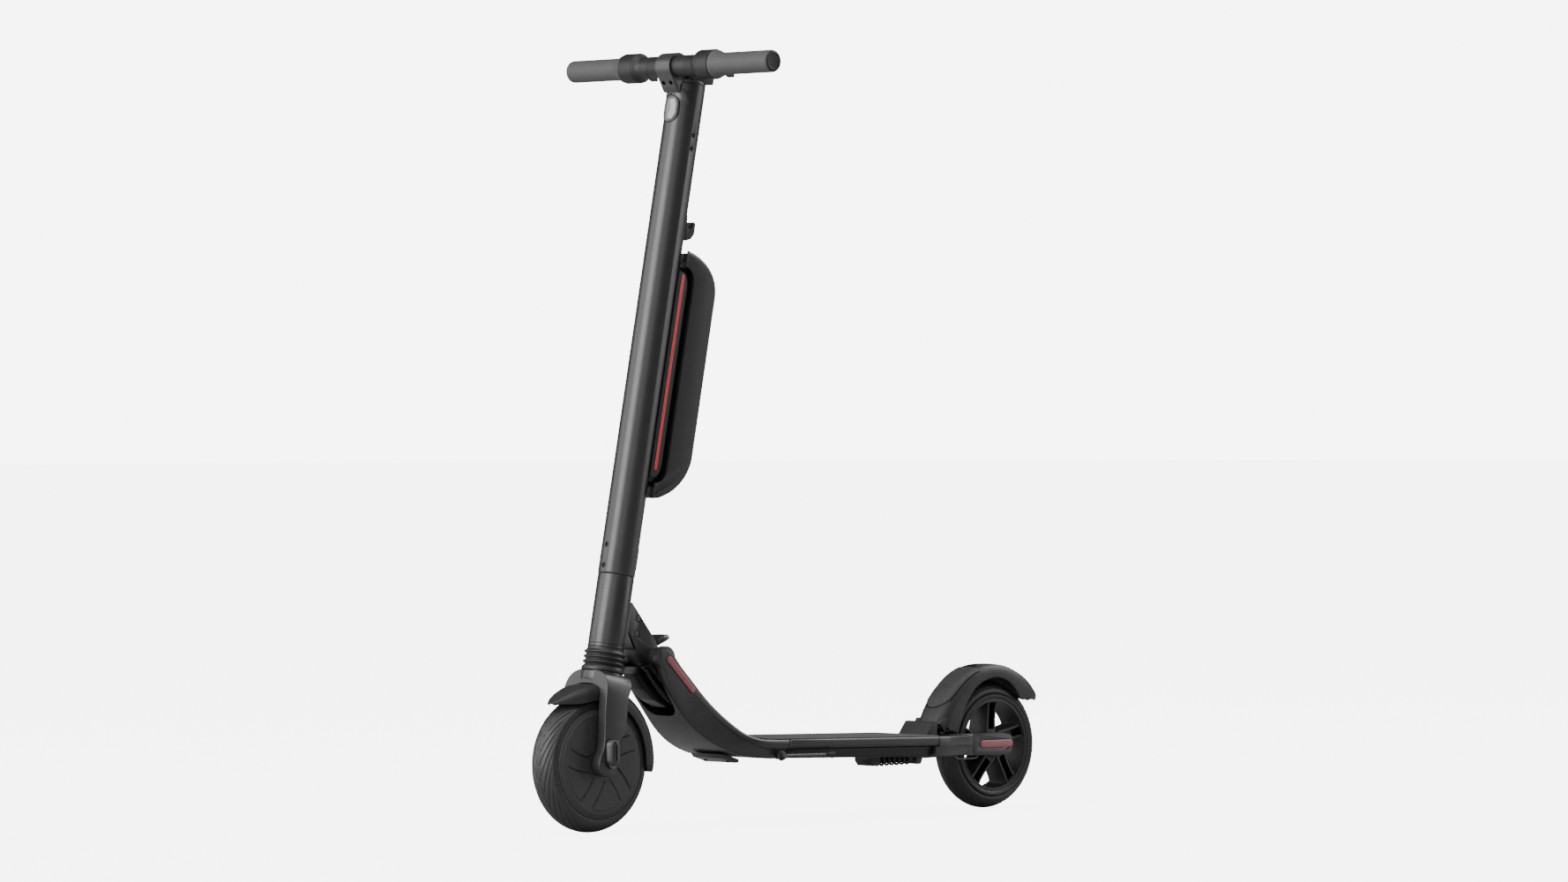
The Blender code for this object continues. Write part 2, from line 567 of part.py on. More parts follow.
def make_front_fender():
    stations = [(50, 117, 113, 7), (54, 116, 108, 14), (60, 115.3, 101, 21), (68, 115, 95, 27), (78, 115, 93, 30)]
    stations += [(angle, 115 - (angle - 78) * 0.05, 93 - (angle - 78) * 0.08, 30) for angle in range(92, 176, 14)]
    stations += [(182, 109.5, 86, 29.5), (187, 108.5, 92, 27)]
    solid("front_fender", fender(stations, (0, FRONT_AXLE_Z)), AXLE_FRAME, "fork", "plastic_black")


def make_front_wheel():
    hub = cross_axle(0, FRONT_AXLE_Z)
    tread = [(80.4, -22.5), (84.5, -24.2), (89, -23.3), (93.2, -19.3), (96.8, -13.8), (99.2, -7), (100, 0),
             (99.2, 7), (96.8, 13.8), (93.2, 19.3), (89, 23.3), (84.5, 24.2), (80.4, 22.5)]
    solid("front_tyre", turned(tread, 48, ring=True), hub, "front_wheel", "rubber_black")
    shell = [(8, -28.5), (70, -28.5), (76, -27), (80, -23.5), (80, 23.8), (67, 23.8), (67, -22), (8, -22)]
    solid("motor_shell", turned(shell, 48, ring=True), hub, "front_wheel", "plastic_black")
    cover = [(8, 24.1), (80, 24.1), (76, 27), (70, 28.5), (16, 28.5), (8, 27.5)]
    solid("motor_cover", turned(cover, 48, ring=True), hub, "front_wheel", "plastic_black")
    solid("motor_stator", tube(61, 6.4, -14, 14, 32), hub, "fork", "copper")


# ---------------------------------------------------------------- rear end
def make_swingarm():
    arm = [(-703.5, 117), (-703.5, 86), (-735, 84.5), (-800, 83), (-824, 84), (-830, 88), (-830, 109), (-826, 113),
           (-810, 115.5), (-740, 117.5)]
    yoke = [(-664, 99), (-664, 85), (-704, 84), (-714.5, 86), (-714.5, 117), (-703.5, 117), (-703.5, 99)]
    swing = solid("swingarm", side_prism(yoke, -46.5, 46.5), AXLE_FRAME, "swingarm", "frame_black")
    for side in (-1, 1):
        join(swing, side_prism(arm, *sorted((side * 30.5, side * 47))), AXLE_FRAME)
        lug = [(-702.5, 112), (-702.5, 127), (-705, 129.5), (-708.5, 129.5), (-711, 127), (-712.5, 112)]
        join(swing, side_prism(lug, *sorted((side * 11, side * 18))), AXLE_FRAME)
    horn = [(-664.5, 90), (-656.5, 88), (-656.5, 73), (-667, 73), (-674, 86)]
    join(swing, side_prism(horn, -12, 12), AXLE_FRAME)
    cut(swing, disc(4.4, -60, 60, 20), cross_axle(*SWING_PIVOT))
    cut(swing, disc(6.4, -60, 60, 20), cross_axle(*REAR_AXLE))
    join(swing, disc(2.3, -26.5, 26.5, 16), cross_axle(*FENDER_PIVOT))
    solid("rear_axle", disc(6, -46, 46, 20), cross_axle(*REAR_AXLE), "swingarm", "steel")
    for side, name in ((1, "rear_reflector_left"), (-1, "rear_reflector_right")):
        outline = capsule((-765, 100.5), (-824, 100), 5.6)
        y = sorted((side * (47 + GAP), side * 48.6))
        solid(name, side_prism(outline, *y), AXLE_FRAME, "swingarm", "reflector_red")


def make_rear_wheel():
    hub = cross_axle(*REAR_AXLE)
    tread = [(78.6, -20.5), (81.5, -21.6), (86, -20), (90.5, -15.6), (94.2, -9.6), (96.2, -4), (96.7, 0),
             (96.2, 4), (94.2, 9.6), (90.5, 15.6), (86, 20), (81.5, 21.6), (78.6, 20.5)]
    solid("rear_tyre", turned(tread, 48, ring=True), hub, "rear_wheel", "rubber_black")
    band = [(66, -22.5), (75.5, -23.5), (78.3, -20), (78.3, 20), (75.5, 23.5), (66, 22.5), (68, 16), (68, -16)]
    rim = solid("rear_rim", turned(band, 40, ring=True), hub, "rear_wheel", "plastic_black")
    join(rim, disc(20, -23.5, 23.5, 30), hub)
    for k in range(5):
        turn = Matrix.Rotation(2 * pi * k / 5 + pi / 2, 4, "Z")
        spoke = skin_rings([[(15, -9, z) for z in (-20, 20)] + [(15, 9, z) for z in (20, -20)],
                            [(70, -6.5, z) for z in (-17, 17)] + [(70, 6.5, z) for z in (17, -17)]])
        join(rim, spoke, hub @ turn)
    cut(rim, disc(6.5, -40, 40, 20), hub)


def make_rear_fender():
    stations = [(14, 129, 88, 29.5), (24, 127.5, 89, 30), (36, 125.5, 91.5, 30), (50, 123.8, 96, 30), (64, 123, 101, 30),
                (78, 123, 103, 30), (92, 123, 103, 30), (106, 123.3, 98, 30), (118, 124, 90, 30),
                (128, 124.8, 86, 29), (136, 125.4, 97, 26), (143, 126, 111, 19), (148.4, 125.7, 121.5, 8)]
    shell = solid("rear_fender", fender(stations, REAR_AXLE), AXLE_FRAME, "rear_fender", "plastic_black")
    ear = [(-701.5, 121), (-712.5, 121), (-712.5, 128), (-707, 141), (-697.5, 141), (-692.8, 133)]
    for side in (-1, 1):
        join(shell, side_prism(ear, *sorted((side * 18.6, side * 28))), AXLE_FRAME)
    cut(shell, disc(2.7, -30, 30, 16), cross_axle(*FENDER_PIVOT))
    pad = [(REAR_AXLE[0] + r * cos(radians(a)), REAR_AXLE[1] + r * sin(radians(a)))
           for r, a in ((108, 52), (108, 64), (108, 76), (119.3, 76), (119.3, 64), (119.6, 52))]
    solid("brake_pad", side_prism(pad, -14, 14), AXLE_FRAME, "rear_fender", "rubber_black")


make_deck_frame()
make_deck_covers()
make_neck_pieces()
make_kickstand()
make_head()
make_stem()
make_stem_fittings()
make_pack()
make_handlebar()
make_fork()
make_front_fender()
make_front_wheel()
make_swingarm()
make_rear_wheel()
make_rear_fender()
bpy.context.view_layer.update()
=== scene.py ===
"""Electric kick scooter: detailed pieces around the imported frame.

Lengths are millimetres. On the deck, x runs forward from the front axle, so most values are negative,
y to the left and z up from the ground. On the steering column, d runs forward from the steering axis,
y to the left and s up the axis from the front axle.
"""
from math import acos, atan2, cos, pi, radians, sin, sqrt, tan

import bmesh
import bpy
import numpy as np
from mathutils import Matrix, Vector


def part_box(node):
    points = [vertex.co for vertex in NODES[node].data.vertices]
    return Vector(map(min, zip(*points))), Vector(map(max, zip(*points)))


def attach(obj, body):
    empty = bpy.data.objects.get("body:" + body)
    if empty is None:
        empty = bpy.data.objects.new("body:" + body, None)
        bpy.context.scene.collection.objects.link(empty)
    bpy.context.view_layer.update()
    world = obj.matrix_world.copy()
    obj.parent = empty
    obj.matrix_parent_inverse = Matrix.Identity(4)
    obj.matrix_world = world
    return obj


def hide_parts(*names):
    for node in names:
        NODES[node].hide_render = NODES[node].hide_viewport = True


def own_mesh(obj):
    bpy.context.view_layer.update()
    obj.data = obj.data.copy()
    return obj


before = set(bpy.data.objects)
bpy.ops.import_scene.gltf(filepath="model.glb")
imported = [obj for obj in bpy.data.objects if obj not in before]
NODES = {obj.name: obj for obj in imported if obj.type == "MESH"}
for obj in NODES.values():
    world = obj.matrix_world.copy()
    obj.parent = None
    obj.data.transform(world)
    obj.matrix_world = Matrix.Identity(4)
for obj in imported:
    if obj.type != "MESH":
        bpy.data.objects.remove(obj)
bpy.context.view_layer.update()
MM = 0.001
TAG = {1: "left", -1: "right"}


# ---------------------------------------------------------------- frames
def crossing(node):
    """(x, z) of the middle of a node that lies across the scooter, in world millimetres."""
    low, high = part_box(node)
    middle = (low + high) / 2 / MM
    return middle.x, middle.z


def from_axle(node):
    x, z = crossing(node)
    return x - AXLE_X, z


AXLE_X, AXLE_Z = crossing("front_axle")
REAR_AXLE = from_axle("rear_axle")
FOLD_PIVOT = from_axle("fold_hinge_pin")
SWING_PIVOT = from_axle("swingarm_pin")
LEAN = radians(11.4)
AXLE = Matrix.Translation((AXLE_X, 0, 0))
COLUMN = Matrix.Translation((AXLE_X, 0, AXLE_Z)) @ Matrix(
    ((cos(LEAN), 0, -sin(LEAN), 0), (0, 1, 0, 0), (sin(LEAN), 0, cos(LEAN), 0), (0, 0, 0, 1)))
ALONG_Y = Matrix(((1, 0, 0, 0), (0, 0, 1, 0), (0, -1, 0, 0), (0, 0, 0, 1)))   # local +z becomes +Y
BAR_D, BAR_S = 35.2, 1023.5


def at(base, x=0, y=0, z=0, turn=0.0, about="X"):
    """A frame moved by (x, y, z) within base, then turned by an angle in radians about its own axis."""
    place = base @ Matrix.Translation((x, y, z))
    return place @ Matrix.Rotation(turn, 4, about) if turn else place


def across(x, z, base=AXLE):
    """Frame of something turned about an axis along Y through (x, z)."""
    return base @ Matrix.Translation((x, 0, z)) @ ALONG_Y


FRONT_HUB = across(0, AXLE_Z)
REAR_HUB = across(*REAR_AXLE)
BAR = across(BAR_D, BAR_S, COLUMN)


def deck_top(x):
    return 121.8 + 0.0243 * (x + 450)


def span(side, near, far):
    """Range of y on one side of the scooter."""
    return sorted((side * near, side * far))


# ---------------------------------------------------------------- camera, light and floor
AZIMUTH, ELEVATION, ROLL = radians(43.9987), radians(0.3293), radians(-0.1619)
DISTANCE = 9.8374
TARGET = Vector((0.0188, 0, 0.5626))
AIM = Vector((0, 0, 0.55))
LIGHTS = {  # azimuth from the camera's, height, distance, size, watts
    "key_left": (50, 1.6, 3.6, (2.0, 3.4), 195),
    "side_left": (92, 1.5, 3.6, (2.4, 3.2), 62),
    "fill_front": (5, 1.6, 4.2, (2.0, 3.0), 26),
    "rim_right": (-100, 1.4, 3.8, (1.8, 3.0), 42),
    "top": (10, 4.2, 1.2, (3.0, 3.0), 90),
    "top_back": (-134, 3.3, 3.6, (3.0, 2.4), 130),
}
SKY_DIFFUSE, SKY_GLOSSY, SKY_SEEN = 0.55, 0.07, 7.0
FLOOR_GREY, FLOOR_GLOW = 0.30, 6.0


def make_camera():
    back = Vector((sin(AZIMUTH) * cos(ELEVATION), cos(AZIMUTH) * cos(ELEVATION), sin(ELEVATION)))
    right = Vector((0, 0, 1)).cross(back).normalized()
    up = back.cross(right)
    side = right * cos(ROLL) + up * sin(ROLL)
    top = back.cross(side)
    place = TARGET + back * DISTANCE
    data = bpy.data.cameras.new("camera")
    data.sensor_width = 36
    data.lens = 152.26
    data.clip_end = 200
    camera = bpy.data.objects.new("camera", data)
    camera.matrix_world = Matrix(((side.x, top.x, back.x, place.x), (side.y, top.y, back.y, place.y),
                                  (side.z, top.z, back.z, place.z), (0, 0, 0, 1)))
    bpy.context.scene.collection.objects.link(camera)
    bpy.context.scene.camera = camera


def softbox(name, azimuth, height, distance, size, power):
    """A rectangular light aimed at the scooter's middle."""
    data = bpy.data.lights.new(name, "AREA")
    data.shape = "RECTANGLE"
    data.size, data.size_y = size
    data.energy = power
    lamp = bpy.data.objects.new(name, data)
    a = AZIMUTH + radians(azimuth)
    lamp.location = (sin(a) * distance, cos(a) * distance, height)
    lamp.rotation_mode = "QUATERNION"
    lamp.rotation_quaternion = (AIM - lamp.location).to_track_quat("-Z", "Y")
    lamp.visible_camera = False
    bpy.context.scene.collection.objects.link(lamp)


def make_studio():
    """A sky that lights matt surfaces, hardly shows in glossy ones and is white to the camera."""
    world = bpy.data.worlds.new("studio")
    bpy.context.scene.world = world
    world.use_nodes = True
    nodes, links = world.node_tree.nodes, world.node_tree.links
    nodes.clear()
    path = nodes.new("ShaderNodeLightPath")
    out = nodes.new("ShaderNodeOutputWorld")

    def background(strength):
        node = nodes.new("ShaderNodeBackground")
        node.inputs["Color"].default_value = (1, 1, 1, 1)
        node.inputs["Strength"].default_value = strength
        return node.outputs[0]

    def choose(ray, otherwise, then):
        node = nodes.new("ShaderNodeMixShader")
        links.new(path.outputs[ray], node.inputs["Fac"])
        links.new(otherwise, node.inputs[1])
        links.new(then, node.inputs[2])
        return node.outputs[0]

    lit = choose("Is Glossy Ray", background(SKY_DIFFUSE), background(SKY_GLOSSY))
    links.new(choose("Is Camera Ray", lit, background(SKY_SEEN)), out.inputs[0])
    for name, light in LIGHTS.items():
        softbox(name, *light)
    bpy.ops.mesh.primitive_circle_add(vertices=96, radius=60, fill_type="NGON", location=(0, 0, -0.0005))
    floor = bpy.context.object
    floor.name = "floor"
    finish = surface("floor_pale", FLOOR_GREY, 0.6, mottle=(3, 0.01), grain=(300, 0.01))
    nodes, links = finish.node_tree.nodes, finish.node_tree.links
    path = nodes.new("ShaderNodeLightPath")
    glow = nodes.new("ShaderNodeMath")
    glow.operation = "MULTIPLY"
    glow.inputs[1].default_value = FLOOR_GLOW
    links.new(path.outputs["Is Camera Ray"], glow.inputs[0])
    nodes["Principled BSDF"].inputs["Emission Color"].default_value = (1, 1, 1, 1)
    links.new(glow.outputs[0], nodes["Principled BSDF"].inputs["Emission Strength"])
    floor.data.materials.append(finish)


# ---------------------------------------------------------------- materials
MADE = {}


def surface(name, color, rough, metallic=0.0, coat=0.0, coat_rough=0.15, mottle=(45, 0.12),
            grain=(1100, 0.08), rough_spread=0.06, cells=None, specular=0.5):
    """A procedural finish; color is (r, g, b) or a grey level.

    mottle is the scale and strength of the colour's unevenness, grain those of the fine bump, and
    cells the scale, strength and depth in metres of a regular pattern of dots.
    """
    made = bpy.data.materials.new(name)
    made.use_nodes = True
    nodes, links = made.node_tree.nodes, made.node_tree.links
    shader = nodes["Principled BSDF"]
    coords = nodes.new("ShaderNodeTexCoord")

    def noise(scale, detail=3):
        node = nodes.new("ShaderNodeTexNoise")
        node.inputs["Scale"].default_value = scale
        node.inputs["Detail"].default_value = detail
        links.new(coords.outputs["Object"], node.inputs["Vector"])
        return node.outputs["Fac"]

    def bump(height, strength, distance):
        node = nodes.new("ShaderNodeBump")
        node.inputs["Distance"].default_value = distance
        node.inputs["Strength"].default_value = strength
        links.new(height, node.inputs["Height"])
        return node

    rgb = color if isinstance(color, tuple) else (color,) * 3
    spread = nodes.new("ShaderNodeMix")
    spread.data_type = "RGBA"
    spread.inputs["A"].default_value = (*[c * (1 - mottle[1]) for c in rgb], 1)
    spread.inputs["B"].default_value = (*[min(1, c * (1 + mottle[1])) for c in rgb], 1)
    links.new(noise(mottle[0]), spread.inputs["Factor"])
    links.new(spread.outputs["Result"], shader.inputs["Base Color"])
    level = nodes.new("ShaderNodeMapRange")
    level.inputs["To Min"].default_value = rough - rough_spread
    level.inputs["To Max"].default_value = rough + rough_spread
    links.new(noise(mottle[0] * 2.3), level.inputs["Value"])
    links.new(level.outputs["Result"], shader.inputs["Roughness"])
    last = bump(noise(grain[0], 2), grain[1], 0.0004)
    if cells:
        scale, strength, distance = cells
        dots = nodes.new("ShaderNodeTexVoronoi")
        dots.inputs["Scale"].default_value = scale
        dots.inputs["Randomness"].default_value = 0.0
        links.new(coords.outputs["Object"], dots.inputs["Vector"])
        fine, last = last, bump(dots.outputs["Distance"], strength, distance)
        links.new(fine.outputs["Normal"], last.inputs["Normal"])
    links.new(last.outputs["Normal"], shader.inputs["Normal"])
    shader.inputs["Metallic"].default_value = metallic
    shader.inputs["Coat Weight"].default_value = coat
    shader.inputs["Coat Roughness"].default_value = coat_rough
    shader.inputs["Specular IOR Level"].default_value = specular
    MADE[name] = made
    return made


def make_materials():
    satin = dict(coat=0.15, coat_rough=0.25, mottle=(25, 0.10), grain=(1600, 0.06), specular=0.55)
    surface("paint", (0.0145, 0.0145, 0.0155), 0.40, coat=0.12, coat_rough=0.25, mottle=(30, 0.12),
            grain=(1400, 0.08))
    surface("stem_paint", (0.015, 0.015, 0.016), 0.38, **satin)
    surface("clamp_paint", (0.023, 0.023, 0.024), 0.38, **satin)
    surface("hub_paint", (0.024, 0.024, 0.0245), 0.50, mottle=(40, 0.12), grain=(1300, 0.2),
            rough_spread=0.05, specular=0.45)
    surface("plastic", (0.0095, 0.0095, 0.010), 0.50, mottle=(60, 0.14), grain=(1300, 0.25),
            rough_spread=0.05, specular=0.4)
    surface("plastic_soft", (0.015, 0.015, 0.0155), 0.52, mottle=(60, 0.14), grain=(1300, 0.28),
            rough_spread=0.05, specular=0.45)
    # near-black painted shade, given to the faces of recesses, holes, slots, grooves and gaps, and to parts
    # that sit deep in them, such as the fold latch
    surface("cavity", 0.003, 0.36, coat=0.06, coat_rough=0.2, mottle=(40, 0.3), grain=(500, 0.05),
            specular=0.25)
    surface("tyre", 0.0145, 0.48, mottle=(70, 0.22), grain=(900, 0.35), rough_spread=0.09)
    surface("rubber", 0.008, 0.60, mottle=(70, 0.2), grain=(1200, 0.3), specular=0.4)
    surface("bellows_rubber", 0.012, 0.48, mottle=(70, 0.2), grain=(1200, 0.2), specular=0.45)
    surface("grip", 0.048, 0.62, mottle=(90, 0.12), grain=(800, 0.3), cells=(620, 0.25, 0.0003),
            specular=0.4)
    surface("mat", 0.05, 0.7, mottle=(50, 0.18), grain=(700, 0.4), cells=(330, 0.5, 0.0005), specular=0.4)
    surface("step_pad", 0.024, 0.55, mottle=(50, 0.18), grain=(900, 0.3), cells=(420, 0.9, 0.0007))
    surface("reflector", (0.21, 0.042, 0.052), 0.35, coat=0.4, mottle=(200, 0.2), grain=(600, 0.1),
            cells=(520, 0.5, 0.0005))
    surface("stripe", (0.46, 0.018, 0.026), 0.42, coat=0.2, mottle=(80, 0.08), grain=(900, 0.05))
    surface("lens", (0.10, 0.10, 0.104), 0.24, coat=0.8, coat_rough=0.06, mottle=(60, 0.08),
            grain=(300, 0.04), cells=(260, 0.25, 0.0004))
    surface("steel", (0.16, 0.16, 0.165), 0.36, metallic=1.0, mottle=(90, 0.12), grain=(1500, 0.15))
    surface("spring_steel", (0.022, 0.022, 0.023), 0.36, metallic=0.3, mottle=(90, 0.15),
            grain=(1300, 0.15))
    surface("steel_dark", (0.09, 0.09, 0.092), 0.4, metallic=0.5, mottle=(200, 0.15), grain=(1500, 0.1))
    surface("screw", (0.014, 0.014, 0.0145), 0.35, metallic=0.4, mottle=(200, 0.15), grain=(1500, 0.1))
    surface("glass", (0.003, 0.003, 0.0035), 0.08, coat=1.0, coat_rough=0.03, mottle=(30, 0.1),
            grain=(200, 0.01))
    surface("copper", (0.5, 0.25, 0.12), 0.4, metallic=1.0, mottle=(90, 0.15), grain=(900, 0.3))
    surface("cell", (0.05, 0.12, 0.30), 0.5, mottle=(30, 0.1), grain=(900, 0.1))
    surface("controller", (0.20, 0.20, 0.21), 0.4, metallic=0.8, mottle=(30, 0.1), grain=(900, 0.2))


# ---------------------------------------------------------------- outlines
def fillet(points, radius, steps=6):
    """A closed outline with its corners rounded; radius is one number, or one per corner."""
    rounded, count = [], len(points)
    radii = radius if isinstance(radius, list) else [radius] * count
    for i, (point, r) in enumerate(zip(points, radii)):
        before, here, after = (Vector(points[k % count]) for k in (i - 1, i, i + 1))
        u, v = before - here, after - here
        half = acos(max(-1, min(1, u.normalized().dot(v.normalized())))) / 2
        if r <= 0 or half > 1.56:
            rounded.append(tuple(here))
            continue
        reach = min(r / tan(half), 0.47 * u.length, 0.47 * v.length)
        first, last = here + u.normalized() * reach, here + v.normalized() * reach
        for k in range(steps + 1):
            t = k / steps
            rounded.append(tuple((1 - t) ** 2 * first + 2 * t * (1 - t) * here + t * t * last))
    return rounded


def curve(points, per=6):
    """Catmull-Rom curve through points of any dimension."""
    pts = np.array(points, float)
    count = len(pts)
    out = []
    for i in range(count - 1):
        a, b, c, d = (pts[min(max(i + k, 0), count - 1)] for k in (-1, 0, 1, 2))
        for k in range(per):
            t = k / per
            out.append(0.5 * (2 * b + (c - a) * t + (2 * a - 5 * b + 4 * c - d) * t ** 2
                              + (3 * b - a - 3 * c + d) * t ** 3))
    out.append(pts[-1])
    return [tuple(p) for p in out]


def capsule(start, end, radius, steps=12):
    along = Vector((end[0] - start[0], end[1] - start[1])).normalized()
    side = Vector((-along.y, along.x))
    points = []
    for middle, sign in ((Vector(end), 1), (Vector(start), -1)):
        for i in range(steps + 1):
            a = pi * i / steps
            points.append(tuple(middle + sign * radius * (sin(a) * along - cos(a) * side)))
    return points


def arc(middle, radius, degrees):
    return [(middle[0] + radius * cos(radians(a)), middle[1] + radius * sin(radians(a))) for a in degrees]


def quarter(steps):
    """Sine and cosine at equal steps of a quarter turn."""
    return [(sin(pi / 2 * k / steps), cos(pi / 2 * k / steps)) for k in range(steps + 1)]


# ---------------------------------------------------------------- shapes: (vertices, faces)
def grid(rows, closed_rows=False, closed_cols=True):
    """Faces between rows of points: joined end to end when closed_rows, or else capped."""
    points = np.asarray(rows, float)
    count, cols = points.shape[:2]
    i = np.arange(count if closed_rows else count - 1)
    j = np.arange(cols if closed_cols else cols - 1)
    i, j = (m.ravel() for m in np.meshgrid(i, j, indexing="ij"))
    i2, j2 = (i + 1) % count, (j + 1) % cols
    faces = np.stack((i * cols + j, i * cols + j2, i2 * cols + j2, i2 * cols + j), 1).tolist()
    if not closed_rows:
        faces.append(list(range(cols))[::-1])
        faces.append([(count - 1) * cols + k for k in range(cols)])
    return points.reshape(-1, 3), faces


def turned(profile, segments=96, ring=False, offset=None):
    """Profile of (radius, height) spun about z: a closed loop when ring, or else capped at both ends.

    offset(angle, radius, height) moves a ring's points outward along the profile's normal.
    """
    prof = np.array(profile, float)
    angle = np.linspace(0, 2 * pi, segments, endpoint=False)
    a, r = np.meshgrid(angle, prof[:, 0], indexing="ij")
    h = np.broadcast_to(prof[:, 1], r.shape)
    if offset:
        tangent = np.roll(prof, -1, 0) - np.roll(prof, 1, 0)
        tangent /= np.linalg.norm(tangent, axis=1)[:, None] + 1e-12
        push = offset(a, r, h)
        area = (prof[:, 0] * np.roll(prof[:, 1], -1) - np.roll(prof[:, 0], -1) * prof[:, 1]).sum()
        side = 1 if area > 0 else -1
        r = r + push * tangent[:, 1] * side
        h = h - push * tangent[:, 0] * side
    points = np.stack((r * np.cos(a), r * np.sin(a), h), -1)
    return grid(points, closed_rows=True) if ring else grid(points.transpose(1, 0, 2))


def disc(radius, low, high, segments=64):
    return turned([(radius, low), (radius, high)], segments)


def tube(outer, inner, low, high, segments=64, soft=0.0):
    profile = [(inner, low), (outer, low), (outer, high), (inner, high)]
    return turned(fillet(profile, soft, 3) if soft else profile, segments, ring=True)


def prism(outline, low, high):
    """Outline of (x, z), extruded across."""
    return grid([[(x, y, z) for x, z in outline] for y in (low, high)])


def plate(outline, low, high):
    """Outline of (x, y), extruded upwards."""
    return grid([[(x, y, z) for x, y in outline] for z in (low, high)])


def box(x, y, z):
    return prism([(x[0], z[0]), (x[1], z[0]), (x[1], z[1]), (x[0], z[1])], y[0], y[1])


def pillow(outline, low, high, soft, steps=4, swell=0.0):
    """A prism whose edge at high is rounded off by soft, and whose face swells by swell."""
    outline = np.array(outline)
    middle = outline.mean(0)
    tangent = np.roll(outline, -1, 0) - np.roll(outline, 1, 0)
    tangent /= np.linalg.norm(tangent, axis=1)[:, None]
    normal = np.stack((tangent[:, 1], -tangent[:, 0]), 1)
    if ((outline - middle) * normal).sum() < 0:
        normal = -normal
    sign = 1 if high > low else -1
    rows = [[(x, low, z) for x, z in outline]]
    for up, over in quarter(steps):
        ring = outline - normal * soft * (1 - over)
        rows.append([(x, high - sign * soft * (1 - up), z) for x, z in ring])
    for k in (1, 2, 3):
        ring = middle + (np.array(rows[steps + 1])[:, [0, 2]] - middle) * (1 - k * 0.3)
        rise = swell * (1 - (1 - k * 0.3) ** 2)
        rows.append([(x, high + sign * rise, z) for x, z in ring])
    return grid(rows)


def sweep(path, radius, sides=12):
    """A round bar along a path; radius is one number or one per point, with rounded-off ends."""
    pts = [Vector(p) for p in path]
    radii = list(radius) if isinstance(radius, list) else [radius] * len(pts)
    first, last = (pts[0] - pts[1]).normalized(), (pts[-1] - pts[-2]).normalized()
    pts = [pts[0] + first * radii[0] * 0.4, pts[0] + first * radii[0] * 0.25] + pts
    pts += [pts[-1] + last * radii[-1] * 0.25, pts[-1] + last * radii[-1] * 0.4]
    radii = [radii[0] * 0.6, radii[0] * 0.9] + radii + [radii[-1] * 0.9, radii[-1] * 0.6]
    rows, normal = [], None
    for i, point in enumerate(pts):
        ahead = (pts[min(i + 1, len(pts) - 1)] - pts[max(i - 1, 0)]).normalized()
        if normal is None:
            normal = ahead.orthogonal().normalized()
        normal = (normal - ahead * normal.dot(ahead)).normalized()
        side = ahead.cross(normal)
        turns = [2 * pi * k / sides for k in range(sides)]
        rows.append([tuple(point + radii[i] * (cos(a) * normal + sin(a) * side)) for a in turns])
    return grid(rows)


def helix(radius, start, length, turns):
    per_turn = 28
    count = turns * per_turn
    return [(radius * cos(2 * pi * i / per_turn), radius * sin(2 * pi * i / per_turn),
             start + length * i / count) for i in range(count + 1)]


# ---------------------------------------------------------------- pieces
def raw_object(name, shape, place, material):
    m = np.array(Matrix.Scale(MM, 4) @ place)
    mesh = bpy.data.meshes.new(name)
    mesh.from_pydata((np.asarray(shape[0], float) @ m[:3, :3].T + m[:3, 3]).tolist(), [], shape[1])
    bm = bmesh.new()
    bm.from_mesh(mesh)
    bmesh.ops.recalc_face_normals(bm, faces=bm.faces)
    bm.to_mesh(mesh)
    bm.free()
    mesh.materials.append(MADE[material])
    made = bpy.data.objects.new(name, mesh)
    bpy.context.scene.collection.objects.link(made)
    return made


def settle(made):
    """Apply the modifiers."""
    bpy.context.view_layer.update()
    graph = bpy.context.evaluated_depsgraph_get()
    mesh = bpy.data.meshes.new_from_object(made.evaluated_get(graph))
    made.modifiers.clear()
    old, made.data = made.data, mesh
    bpy.data.meshes.remove(old)


def carve(made, operation, shape, place, material):
    tool = raw_object("tool", shape, place, material)
    modifier = made.modifiers.new("carve", "BOOLEAN")
    modifier.object, modifier.operation, modifier.solver = tool, operation, "EXACT"
    modifier.material_mode = "TRANSFER"
    settle(made)
    mesh = tool.data
    bpy.data.objects.remove(tool)
    bpy.data.meshes.remove(mesh)


def piece(name, shape, place, body, material, node=None, joins=(), cuts=(), bevel=0.0,
          segments=2, angle=32, sharp=38):
    """One visible piece, standing for a CAD node if one is named.

    joins and cuts are (shape, frame) or (shape, frame, material of the new faces).
    """
    made = raw_object(name, shape, place, material)
    for operation, tools in (("UNION", joins), ("DIFFERENCE", cuts)):
        for tool in tools:
            carve(made, operation, *(tool if len(tool) > 2 else (*tool, material)))
    if joins or cuts:
        bm = bmesh.new()
        bm.from_mesh(made.data)
        bmesh.ops.remove_doubles(bm, verts=bm.verts, dist=2e-6)
        bmesh.ops.dissolve_degenerate(bm, edges=bm.edges, dist=2e-6)
        bm.to_mesh(made.data)
        bm.free()
    if bevel:
        modifier = made.modifiers.new("edges", "BEVEL")
        modifier.width = bevel * MM
        modifier.segments = segments
        modifier.limit_method = "ANGLE"
        modifier.angle_limit = radians(angle)
        modifier.use_clamp_overlap = True
        modifier.miter_outer = "MITER_ARC"
        settle(made)
    made.data.shade_smooth()
    made.data.set_sharp_from_angle(angle=radians(sharp))
    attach(made, body)
    if node:
        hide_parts(node)
    return made


